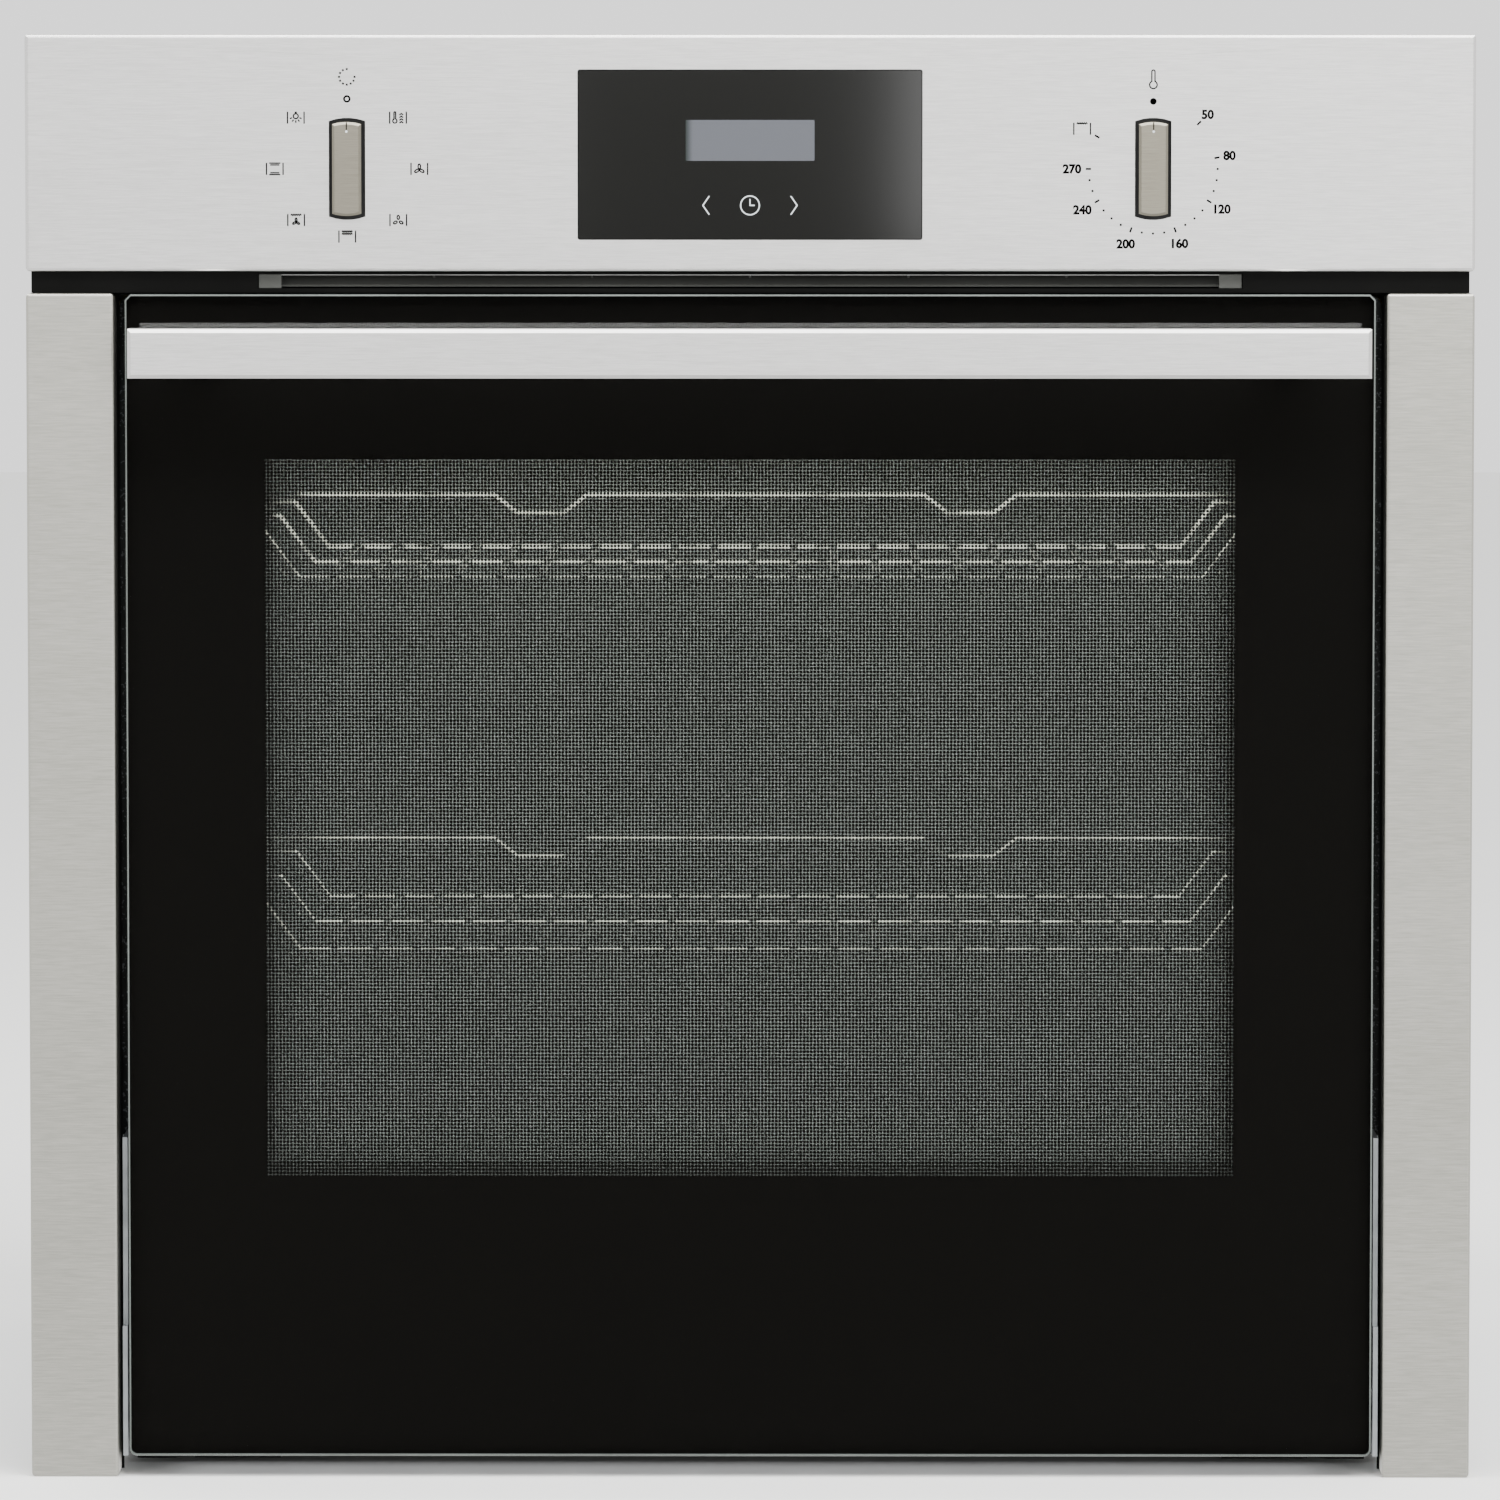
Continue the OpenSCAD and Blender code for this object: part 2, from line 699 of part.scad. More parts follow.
module power_board() color("darkgreen") {
    block([120, 110, 506], [240, 270, 507.6]);
    for (x = [130, 160, 190])
        block([x, 130, 507.6], [x + 22, 152, 530]);
    block([140, 180, 507.6], [190, 225, 545]);
    for (y = [115, 265]) {
        translate([125, y, 502]) cylinder(h = 4, r = 3);
        translate([235, y, 487.2]) cylinder(h = 18.8, r = 3);
    }
}
module terminal_block() color("ivory") {
    block([-230, 440, 487.2], [-170, 490, 520]);
    difference() {
        block([-228, 445, 520], [-172, 475, 545]);
        for (x = [-218 : 12 : -178])
            block([x, 450, 530], [x + 7, 480, 550]);
    }
}
module cable_gland() color("black") {
    difference() {
        union() {
            rod_y(-200, back_y - 10, 550, 9, 10 + 11);
            rod_y(-200, back_y, 550, 13, 5);
            rod_y(-200, back_y - 6, 550, 12.5, 5);
        }
        rod_y(-200, back_y - 20, 550, 6, 60);
    }
}
module casing_sides() color("lightgray") {
    both_sides() difference() {
        block([side_x, seat_y, 5], [side_x + sheet, back_y, casing_top_z - sheet]);
        for (y = [330 : 20 : 470])
            block([side_x - 1, y, 510], [side_x + 5, y + 8, 560]);
    }
}
module casing_top() color("lightgray") {
    difference() {
        block([-side_x - sheet, seat_y, casing_top_z - sheet], [side_x + sheet, back_y, casing_top_z]);
        for (x = [-180 : 30 : 180])
            block([x, 420, casing_top_z - 5], [x + 16, 470, casing_top_z + 5]);
    }
}
module casing_back() color("lightgray") {
    difference() {
        block([-side_x, back_y - sheet, 6], [side_x, back_y, casing_top_z - sheet]);
        rod_y(0, back_y - 5, fan_z, 62, 10);
        rod_y(-200, back_y - 5, 550, 9.1, 10);
        for (x = [-120 : 30 : 120])
            block([x, back_y - 5, 520], [x + 16, back_y + 5, 560]);
    }
}
// the floor of the bay, with the stepped front lip and two runners that stand on the shelf
module base_pan() color("dimgray") {
    block([-side_x, 22, 4], [side_x, back_y - sheet, 5]);
    standing(21, 2)
        polygon([[-256, 2], [-241, 2], [-226, 3.3], [226, 3.3], [241, 2], [256, 2],
            [256, 5], [241, 5], [226, 6.2], [-226, 6.2], [-241, 5], [-256, 5]]);
    for (sx = [-1, 1])
        block([sx * 215 - 18, 36, 0], [sx * 215 + 18, 496, 4.5]);
}

placed() control_panel_fascia();
placed() panel_carrier();
placed() display_glass();
placed() display_module();
placed() control_board();
placed() knob_bezels();
placed() function_knob();
placed() temperature_knob();
placed() function_shaft();
placed() temperature_shaft();
placed() rotary_selectors();
placed() left_side_trim();
placed() right_side_trim();
placed() front_frame();
placed() vent_crossbar();
placed() air_outlet_louvre();
placed() hinge_brackets();
placed() slot_rails();
placed() door_bay_roof();
placed() hinge_springs();
placed() hinge_carriers();
placed() carrier_rollers();
placed() door_end_rollers();
placed() door_outer_glass();
placed() door_middle_glass();
placed() door_inner_glass();
placed() door_side_profiles();
placed() door_rails();
placed() door_top_profile();
placed() door_bottom_profile();
placed() handle_bar();
placed() handle_posts();
placed() handle_screws();
placed() oven_cavity();
placed() door_seal();
placed() left_side_rack();
placed() right_side_rack();
placed() upper_wire_shelf();
placed() lower_wire_shelf();
placed() fan_cover();
placed() convection_fan();
placed() ring_heater();
placed() grill_element();
placed() bottom_element();
placed() lamp_lens();
placed() lamp_holder();
placed() temperature_probe();
placed() cavity_insulation();
placed() convection_motor();
placed() motor_cover();
placed() cooling_fan();
placed() cooling_fan_housing();
placed() air_duct();
placed() power_board();
placed() terminal_block();
placed() cable_gland();
placed() casing_sides();
placed() casing_top();
placed() casing_back();
placed() base_pan();
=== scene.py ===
# Wall oven: brushed steel front, black glass door with a dot-screened window, casing and cavity.
import json
import math
import bmesh
import bpy
import numpy as np
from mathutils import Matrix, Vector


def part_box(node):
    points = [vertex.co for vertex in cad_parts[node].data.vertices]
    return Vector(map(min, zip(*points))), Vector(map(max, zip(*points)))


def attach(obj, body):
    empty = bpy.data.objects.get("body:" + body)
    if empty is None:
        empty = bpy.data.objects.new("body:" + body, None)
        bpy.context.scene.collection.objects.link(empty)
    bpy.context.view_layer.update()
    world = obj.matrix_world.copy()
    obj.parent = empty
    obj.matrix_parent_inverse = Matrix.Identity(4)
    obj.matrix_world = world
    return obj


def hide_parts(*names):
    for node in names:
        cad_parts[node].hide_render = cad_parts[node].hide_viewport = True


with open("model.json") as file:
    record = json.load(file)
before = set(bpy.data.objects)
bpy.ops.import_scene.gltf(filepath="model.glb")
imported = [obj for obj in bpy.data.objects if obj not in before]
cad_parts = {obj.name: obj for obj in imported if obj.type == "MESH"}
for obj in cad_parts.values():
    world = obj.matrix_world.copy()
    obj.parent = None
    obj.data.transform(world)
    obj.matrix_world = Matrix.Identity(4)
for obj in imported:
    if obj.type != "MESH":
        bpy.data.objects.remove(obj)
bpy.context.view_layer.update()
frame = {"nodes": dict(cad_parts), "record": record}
print("frame loaded:", len(frame["nodes"]), "nodes")

mm = 0.001


# An sRGB hex colour as linear RGBA: below 0.04045 divide by 12.92, above it the 2.4 power curve.
def hexToLinear(code):
    srgb = np.array([int(code[i:i + 2], 16) for i in (1, 3, 5)]) / 255
    linear = np.where(srgb <= 0.04045, srgb / 12.92, ((srgb + 0.055) / 1.055) ** 2.4)
    return (*map(float, linear), 1.0)


def addNode(tree, kind, values=None, links=None, **settings):
    node = tree.nodes.new(kind)
    for name, value in settings.items():
        setattr(node, name, value)
    for key, value in (values or {}).items():
        node.inputs[key].default_value = value
    for key, socket in (links or {}).items():
        tree.links.new(socket, node.inputs[key])
    return node


# A Principled material; sockets are further inputs, with spaces left out of their names.
def newMaterial(name, colour, roughness, metallic=0.0, **sockets):
    material = bpy.data.materials.new(name)
    material.use_nodes = True
    tree = material.node_tree
    tree.nodes.clear()
    shader = addNode(tree, "ShaderNodeBsdfPrincipled",
                     {"Base Color": hexToLinear(colour), "Roughness": roughness, "Metallic": metallic})
    for key, value in sockets.items():
        found = [s for s in shader.inputs if s.name.replace(" ", "") == key][0]
        found.default_value = value
    out = addNode(tree, "ShaderNodeOutputMaterial", links={"Surface": shader.outputs[0]})
    return material, tree, shader, out


# Object coordinates in metres, stretched by scale.
def objectPoint(tree, scale=(1, 1, 1)):
    coords = addNode(tree, "ShaderNodeTexCoord")
    if scale == (1, 1, 1):
        return coords.outputs["Object"]
    stretched = addNode(tree, "ShaderNodeMapping", {"Scale": scale}, {"Vector": coords.outputs["Object"]})
    return stretched.outputs[0]


def noiseField(tree, point, scale, detail=2.0, rough=0.5):
    return addNode(tree, "ShaderNodeTexNoise", {"Scale": scale, "Detail": detail, "Roughness": rough},
                   {"Vector": point}).outputs["Fac"]


# A field's start to end taken to low to high.
def spread(tree, field, low, high, start=0.3, end=0.7):
    mapped = addNode(tree, "ShaderNodeMapRange",
                     {"From Min": start, "From Max": end, "To Min": low, "To Max": high}, {"Value": field})
    return mapped.outputs[0]


def colourBetween(tree, field, first, second):
    mix = addNode(tree, "ShaderNodeMix", links={0: field}, data_type="RGBA")
    mix.inputs[6].default_value = hexToLinear(first)
    mix.inputs[7].default_value = hexToLinear(second)
    return mix.outputs[2]


def addBump(tree, shader, field, depth, strength=1.0):
    bump = addNode(tree, "ShaderNodeBump", {"Strength": strength, "Distance": depth}, {"Height": field})
    tree.links.new(bump.outputs[0], shader.inputs["Normal"])


# One sum: numbers are set, sockets are linked.
def mathNode(tree, operation, first, second=None, third=None):
    node = addNode(tree, "ShaderNodeMath", operation=operation)
    for i, value in enumerate((first, second, third)):
        if isinstance(value, (int, float)):
            node.inputs[i].default_value = value
        elif value is not None:
            tree.links.new(value, node.inputs[i])
    return node.outputs[0]


# Stainless sheet, belt brushed from side to side: hair-fine lines lineGap mm apart and lineLength mm long
# that spread highlights up and down.
def brushedSteel(name, colour, dark, roughness, lineGap=0.45, lineLength=11, groove=0.012):
    material, tree, shader, out = newMaterial(name, colour, roughness, 1.0)
    lines = objectPoint(tree, (1000 / lineLength, 1000 / lineGap, 1000 / lineGap))
    fine = noiseField(tree, lines, 1.0, 3, 0.65)
    broad = noiseField(tree, objectPoint(tree, (3, 14, 14)), 1.0, 2)
    both = mathNode(tree, "MULTIPLY_ADD", fine, 0.8, mathNode(tree, "MULTIPLY", broad, 0.2))
    tree.links.new(colourBetween(tree, spread(tree, both, 0, 1, 0.35, 0.65), dark, colour),
                   shader.inputs["Base Color"])
    tree.links.new(spread(tree, both, roughness - 0.015, roughness + 0.02), shader.inputs["Roughness"])
    addBump(tree, shader, fine, groove * mm, 0.2)
    return material


# Sheet steel with a zinc coat: patchy spangle about 6 mm across, dull shine.
def galvanisedSheet(name, colour, dark, roughness=0.42):
    material, tree, shader, out = newMaterial(name, colour, roughness, 0.85)
    cells = addNode(tree, "ShaderNodeTexVoronoi", {"Scale": 1.0},
                    {"Vector": objectPoint(tree, (160, 160, 160))}, feature="SMOOTH_F1")
    haze = noiseField(tree, objectPoint(tree), 35, 4)
    tone = mathNode(tree, "MULTIPLY_ADD", cells.outputs["Distance"], 0.5,
                    mathNode(tree, "MULTIPLY", haze, 0.5))
    tree.links.new(colourBetween(tree, spread(tree, tone, 0, 1, 0.25, 0.65), colour, dark),
                   shader.inputs["Base Color"])
    tree.links.new(spread(tree, tone, roughness - 0.08, roughness + 0.1), shader.inputs["Roughness"])
    addBump(tree, shader, haze, 0.0001, 0.15)
    return material


# Powder coated or moulded surface: even colour with a fine grain grainSize mm across.
def grainedCoat(name, colour, light, roughness, grainSize=0.8, depth=0.00004, metallic=0.0, shine=0.5):
    material, tree, shader, out = newMaterial(name, colour, roughness, metallic, SpecularIORLevel=shine)
    grain = noiseField(tree, objectPoint(tree), 1000 / grainSize, 3)
    cloud = noiseField(tree, objectPoint(tree), 18, 3)
    tree.links.new(colourBetween(tree, spread(tree, cloud, 0, 1), colour, light), shader.inputs["Base Color"])
    tree.links.new(spread(tree, grain, roughness - 0.05, roughness + 0.06), shader.inputs["Roughness"])
    addBump(tree, shader, grain, depth, 0.3)
    return material


# Vitreous enamel fired on steel: black-grey, glossy, with pale specks under 1 mm.
def ovenEnamel():
    material, tree, shader, out = newMaterial("vitreousEnamel", "#3f4240", 0.22)
    specks = noiseField(tree, objectPoint(tree), 900, 1)
    waves = noiseField(tree, objectPoint(tree), 40, 2)
    tree.links.new(colourBetween(tree, spread(tree, specks, 0, 1, 0.62, 0.68), "#3f4240", "#84878a"),
                   shader.inputs["Base Color"])
    tree.links.new(spread(tree, waves, 0.12, 0.24), shader.inputs["Roughness"])
    addBump(tree, shader, waves, 0.0003, 0.2)
    return material


# Bright chrome plate on wire: mirror with faint haze where hands and pans rub it.
def chromeWire():
    material, tree, shader, out = newMaterial("chromePlate", "#c2c3c4", 0.12, 1.0)
    rub = noiseField(tree, objectPoint(tree), 60, 3)
    tree.links.new(spread(tree, rub, 0.07, 0.22), shader.inputs["Roughness"])
    tree.links.new(colourBetween(tree, spread(tree, rub, 0, 1), "#cdcecf", "#b0b0af"),
                   shader.inputs["Base Color"])
    return material


# Share of light a glass face mirrors, the same from both sides: 0.04 + 0.96 (1 - cosine)^5.
def mirrorShare(tree):
    facing = addNode(tree, "ShaderNodeLayerWeight", {"Blend": 0.5}).outputs["Facing"]
    return mathNode(tree, "MULTIPLY_ADD", mathNode(tree, "POWER", facing, 5.0), 0.96, 0.04)


# Float glass: clear, mirrors a little, and lets lamps through to what is behind it. The haze is a faint
# grey-green veil, such as a heat-reflecting coat gives.
def clearPane(name, tint="#f2f5f3", haze=0.0):
    material, tree, veil, out = newMaterial(name, "#cacbc9", 1.0, SpecularIORLevel=0.0)
    through = addNode(tree, "ShaderNodeBsdfTransparent", {"Color": hexToLinear(tint)})
    gloss = addNode(tree, "ShaderNodeBsdfAnisotropic", {"Color": (1, 1, 1, 1), "Roughness": 0.02})
    glass = addNode(tree, "ShaderNodeMixShader",
                    links={0: mirrorShare(tree), 1: through.outputs[0], 2: gloss.outputs[0]})
    mix = addNode(tree, "ShaderNodeMixShader", {0: haze}, {1: glass.outputs[0], 2: veil.outputs[0]})
    tree.links.new(mix.outputs[0], out.inputs[0])
    return material


doorPrint = {
    "screenPitch": 1.44,        # mm between the dots of the window screen
    "dotRadius": 0.56,          # mm
    "windowHalf": 199.5,        # mm
    "windowLow": 124.8,
    "windowHigh": 420.8,
    "borderSide": 3.0,          # fatter dots along the sides and the bottom
    "borderLow": 6.0,
    "borderGain": 0.1,
}
innerPrint = {
    "screenPitch": 3.0,
    "dotRadius": 0.0,
    "windowHalf": 205.0,
    "windowLow": 60.0,
    "windowHigh": 436.0,
    "borderSide": 4.0,
    "borderLow": 4.0,
    "borderGain": 0.9,
}


# Toughened glass with black enamel fired on its back: deep black where printed solid, and a square
# screen of round dots over the window that what is behind shows through.
def printedGlass(name, d, backY):
    material, tree, ink, out = newMaterial(name, "#100f0e", 0.5, SpecularIORLevel=0.0)
    point = addNode(tree, "ShaderNodeSeparateXYZ", links={0: objectPoint(tree)})
    x, y, z = point.outputs
    # distance to the nearest dot centre: x and z folded into one cell, then the hypotenuse
    cell = d["screenPitch"] * mm
    fold = [mathNode(tree, "PINGPONG", axis, cell / 2) for axis in (x, z)]
    offset = [mathNode(tree, "SUBTRACT", cell / 2, f) for f in fold]
    away = mathNode(tree, "SQRT", mathNode(tree, "ADD", mathNode(tree, "MULTIPLY", offset[0], offset[0]),
                                           mathNode(tree, "MULTIPLY", offset[1], offset[1])))
    sideways = mathNode(tree, "ABSOLUTE", x)
    inSide = mathNode(tree, "LESS_THAN", sideways, (d["windowHalf"] - d["borderSide"]) * mm)
    inLow = mathNode(tree, "GREATER_THAN", z, (d["windowLow"] + d["borderLow"]) * mm)
    core = mathNode(tree, "MULTIPLY", inSide, inLow)
    gain = d["borderGain"] * mm
    radius = mathNode(tree, "MULTIPLY_ADD", core, -gain, d["dotRadius"] * mm + gain)
    dots = mathNode(tree, "LESS_THAN", away, radius)
    window = mathNode(tree, "MULTIPLY", mathNode(tree, "LESS_THAN", sideways, d["windowHalf"] * mm),
                      mathNode(tree, "MULTIPLY", mathNode(tree, "GREATER_THAN", z, d["windowLow"] * mm),
                               mathNode(tree, "LESS_THAN", z, d["windowHigh"] * mm)))
    solid = mathNode(tree, "SUBTRACT", 1.0, window)
    printed = mathNode(tree, "MAXIMUM", solid, dots)
    onBack = mathNode(tree, "GREATER_THAN", y, backY - 0.3 * mm)
    cover = mathNode(tree, "MULTIPLY", printed, onBack)
    through = addNode(tree, "ShaderNodeBsdfTransparent", {"Color": hexToLinear("#f5f7f6")})
    gloss = addNode(tree, "ShaderNodeBsdfAnisotropic", {"Color": (1, 1, 1, 1), "Roughness": 0.015})
    glass = addNode(tree, "ShaderNodeMixShader",
                    links={0: mirrorShare(tree), 1: through.outputs[0], 2: gloss.outputs[0]})
    mix = addNode(tree, "ShaderNodeMixShader", links={0: cover, 1: glass.outputs[0], 2: ink.outputs[0]})
    tree.links.new(mix.outputs[0], out.inputs[0])
    return material


# Loose mineral wool felt: matt straw yellow, fibres about 1 mm apart.
def mineralWool():
    material, tree, shader, out = newMaterial("mineralWool", "#b8a772", 0.95, SheenWeight=0.2)
    fibres = noiseField(tree, objectPoint(tree, (1, 1, 4)), 700, 5, 0.7)
    tree.links.new(colourBetween(tree, spread(tree, fibres, 0, 1), "#97875a", "#d0c292"),
                   shader.inputs["Base Color"])
    addBump(tree, shader, fibres, 0.001, 0.7)
    return material


# Glass-fibre circuit board under green lacquer, with paler tracks about 1.5 mm apart.
def circuitBoard():
    material, tree, shader, out = newMaterial("circuitBoard", "#14492c", 0.35)
    tracks = addNode(tree, "ShaderNodeTexBrick",
                     {"Scale": 1.0, "Mortar Size": 0.06, "Brick Width": 2.4, "Row Height": 0.5,
                      "Color1": hexToLinear("#164f30"), "Color2": hexToLinear("#124327"),
                      "Mortar": hexToLinear("#2d7a4a")},
                     {"Vector": objectPoint(tree, (300, 300, 300))})
    tree.links.new(tracks.outputs["Color"], shader.inputs["Base Color"])
    return material


panelLow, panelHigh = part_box("control_panel_fascia")
paneLow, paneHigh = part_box("door_outer_glass")
finish = {
    "brushed_steel": brushedSteel("brushedStainless", "#e6e5e3", "#d3d2d0", 0.34),
    "trim_steel": brushedSteel("brushedTrimSteel", "#bdbbb3", "#a9a89f", 0.36),
    "knob_metal": brushedSteel("satinNickel", "#938f82", "#827d70", 0.32, 0.25, 12),
    "plain_steel": brushedSteel("rolledSteel", "#a9a9a8", "#8f8f8e", 0.35, 0.6, 20),
    "door_profile": brushedSteel("extrudedAluminium", "#b9babc", "#a8a9ab", 0.38, 0.5, 80),
    "fan_blade": brushedSteel("pressedAluminium", "#b4b5b6", "#a1a2a3", 0.4, 0.8, 15),
    "galvanised": galvanisedSheet("galvanisedSheet", "#a9adaf", "#9a9ea0"),
    "motor_steel": grainedCoat("lacqueredMotorSteel", "#4c4f53", "#5a5d61", 0.4, metallic=0.6),
    "black_paint": grainedCoat("blackPowderCoat", "#070706", "#0c0c0b", 0.6, shine=0.06),
    "black_plastic": grainedCoat("mouldedBlackPlastic", "#141414", "#1c1c1b", 0.42, 0.5),
    "ivory_plastic": grainedCoat("mouldedIvoryPlastic", "#dcd5c0", "#e4deca", 0.4, 0.5),
    "roller_plastic": grainedCoat("mouldedAcetal", "#d8d8d4", "#e2e2de", 0.35, 0.5),
    "rubber_black": grainedCoat("mouldedRubber", "#151515", "#1e1e1e", 0.6, 0.4),
    "seal_rubber": grainedCoat("siliconeSeal", "#2b2c2d", "#363738", 0.55, 0.4),
    "heater_rod": grainedCoat("oxidisedHeaterRod", "#403b36", "#56504a", 0.5, 1.5, metallic=0.7),
    "ceramic": grainedCoat("glazedCeramic", "#ddd8c9", "#e6e2d6", 0.2, 1.0),
    "enamel": ovenEnamel(),
    "chrome_wire": chromeWire(),
    "mineral_wool": mineralWool(),
    "circuit_board": circuitBoard(),
    "clear_glass": clearPane("floatGlass"),
    "lamp_glass": clearPane("lampGlass", "#fff8ea", 0.02),
    "door_glass": printedGlass("printedDoorGlass", doorPrint, paneHigh[1]),
    "display_glass": newMaterial("smokedDisplayGlass", "#1b1b1a", 0.06)[0],
}
for entry in frame["record"]["subparts"]:
    node = frame["nodes"][entry["node"]]
    node.data.materials.clear()
    node.data.materials.append(finish[entry["material_slot"]])
frame["nodes"]["door_middle_glass"].data.materials[0] = clearPane("coatedMiddleGlass", "#f3f5f4", 0.19)
innerNode = frame["nodes"]["door_inner_glass"]
innerNode.data.materials[0] = printedGlass("borderedInnerGlass", innerPrint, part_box("door_inner_glass")[1][1])
greyPlastic = grainedCoat("greyOutletPlastic", "#50514e", "#575855", 0.6, 0.5, shine=0.1)
frame["nodes"]["air_outlet_louvre"].data.materials[0] = greyPlastic
print("materials set:", len(finish))


def makePiece(name, points, faces, material, body, smooth=False):
    mesh = bpy.data.meshes.new(name)
    mesh.from_pydata([tuple(p) for p in np.asarray(points, float)], [], [tuple(map(int, f)) for f in faces])
    mesh.materials.append(material)
    solid = bmesh.new()
    solid.from_mesh(mesh)
    bmesh.ops.recalc_face_normals(solid, faces=solid.faces[:])
    solid.to_mesh(mesh)
    solid.free()
    mesh.polygons.foreach_set("use_smooth", [smooth] * len(mesh.polygons))
    mesh.update()
    piece = bpy.data.objects.new(name, mesh)
    bpy.context.collection.objects.link(piece)
    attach(piece, body)
    return piece


# Quads between neighbouring rows of a rows by cols grid; closed joins the last column to the first.
def gridFaces(rows, cols, closed=True):
    r, c = np.meshgrid(np.arange(rows - 1), np.arange(cols if closed else cols - 1), indexing="ij")
    nxt = (c + 1) % cols
    quads = np.stack([r * cols + c, r * cols + nxt, (r + 1) * cols + nxt, (r + 1) * cols + c], -1)
    return quads.reshape(-1, 4).tolist()


# An anticlockwise outline moved inwards: each point goes along the mean of its two edge normals.
def inset(outline, amount):
    before = outline - np.roll(outline, 1, 0)
    after = np.roll(outline, -1, 0) - outline
    unit = [e / np.maximum(np.linalg.norm(e, axis=1, keepdims=True), 1e-12) for e in (before, after)]
    normals = [np.stack([-u[:, 1], u[:, 0]], 1) for u in unit]
    mean = normals[0] + normals[1]
    scale = np.maximum((mean * normals[0]).sum(1, keepdims=True), 0.3)
    return outline + mean / scale * amount


# An outline in x and z (anticlockwise seen from the front) as a plate from y0 (front) to y1, its rim a
# quarter round of radius bevel: at angle a the ring is inset by bevel (1 - sin a) at depth bevel (1 -
# cos a). A bore of (x, z, radius, bottom) is sunk into the back, with each outline point drawn in to
# the radius.
def slab(name, outline, y0, y1, bevel, material, body, steps=3, backBevel=0.0, bore=None):
    angle = np.linspace(0, math.pi / 2, steps + 1)
    rings = [(bevel * (1 - math.sin(a)), y0 + bevel * (1 - math.cos(a))) for a in angle]
    if backBevel:
        rings += [(backBevel * (1 - math.cos(a)), y1 - backBevel * (1 - math.sin(a))) for a in angle]
    else:
        rings.append((0.0, y1))
    n = len(outline)
    points = []
    for amount, y in rings:
        edge = inset(outline, amount)
        points.append(np.stack([edge[:, 0], np.full(n, y), edge[:, 1]], 1))
    if bore:
        away = outline - bore[:2]
        hole = bore[:2] + bore[2] * away / np.linalg.norm(away, axis=1, keepdims=True)
        points += [np.stack([hole[:, 0], np.full(n, y), hole[:, 1]], 1) for y in (y1, bore[3])]
    faces = gridFaces(len(points), n)
    last = (len(points) - 1) * n
    faces += [list(range(n))[::-1], list(range(last, last + n))]
    return makePiece(name, np.concatenate(points), [f[::-1] for f in faces], material, body)


# A long upright shape, anticlockwise: its ends are arcs of one circle, x = r sin t and z = r cos t, and
# its sides have points at even angles t from the middle, z = half the width times tan t.
def barOutline(cx, cz, width, radius, steps=10):
    reach = math.asin(width / 2 / radius)
    arc = np.linspace(-reach, reach, steps)
    top = np.stack([radius * np.sin(arc), radius * np.cos(arc)], 1)
    rise = width / 2 * np.tan(np.linspace(math.pi / 3, -math.pi / 3, steps))
    left = np.stack([np.full(steps, -width / 2), rise], 1)
    return np.concatenate([top[::-1], left, -top[::-1], -left]) + [cx, cz]


# A rectangle with quarter-circle corners, anticlockwise from its right side.
def roundRect(cx, cz, w, h, r, steps=6):
    quarter = np.linspace(0, math.pi / 2, steps)
    corners = [(1, 1, 0), (-1, 1, 1), (-1, -1, 2), (1, -1, 3)]
    parts = []
    for sx, sz, k in corners:
        a = quarter + k * math.pi / 2
        parts.append(np.stack([sx * (w / 2 - r) + r * np.cos(a), sz * (h / 2 - r) + r * np.sin(a)], 1))
    return np.concatenate(parts) + [cx, cz]


# A profile of (radius, depth) pairs turned about an axis: point = centre + radius (cos t, sin t) across
# the axis and depth along it. Returns points and faces, closed where the profile starts and ends at
# radius 0 or in one place.
def turned(profile, centre, axis="y", steps=40):
    t = np.linspace(0, 2 * math.pi, steps, endpoint=False)
    radius, depth = np.asarray(profile, float).T
    u = radius[:, None] * np.cos(t)
    v = radius[:, None] * np.sin(t)
    w = np.broadcast_to(depth[:, None], u.shape)
    order = {"y": (u, w, v), "x": (w, v, u), "z": (v, u, w)}[axis]
    points = np.stack(order, -1).reshape(-1, 3) + centre
    return points, [f[::-1] for f in gridFaces(len(profile), steps)]


# Several (points, faces) as one.
def joined(parts):
    points, faces, start = [], [], 0
    for p, f in parts:
        points.append(np.asarray(p, float))
        faces += [[i + start for i in face] for face in f]
        start += len(p)
    return np.concatenate(points), faces


# A flat rectangular profile carried along a path in x and z: at each point the two edges lie half the
# width along the mean normal of the neighbouring stretches, at depth y0 in front and y1 behind.
def ribbon(path, width, y0, y1, closed=False):
    path = np.asarray(path, float)
    before = path - np.roll(path, 1, 0)
    after = np.roll(path, -1, 0) - path
    if not closed:
        before[0], after[-1] = after[0], before[-1]
    unit = [e / np.maximum(np.linalg.norm(e, axis=1, keepdims=True), 1e-9) for e in (before, after)]
    normal = [np.stack([-u[:, 1], u[:, 0]], 1) for u in unit]
    mean = normal[0] + normal[1]
    mean = mean / np.maximum((mean * normal[0]).sum(1, keepdims=True), 0.5)
    left, right = path + mean * width / 2, path - mean * width / 2
    n = len(path)
    loops = [(left, y0), (right, y0), (right, y1), (left, y1)]
    points = np.concatenate([np.stack([p[:, 0], np.full(n, y), p[:, 1]], 1) for p, y in loops])
    faces = []
    for a in range(4):
        b = (a + 1) % 4
        i = np.arange(n if closed else n - 1)
        j = (i + 1) % n
        faces += np.stack([a * n + i, a * n + j, b * n + j, b * n + i], 1).tolist()
    if not closed:
        faces += [[0, n, 2 * n, 3 * n], [4 * n - 1, 3 * n - 1, 2 * n - 1, n - 1]]
    return points, faces


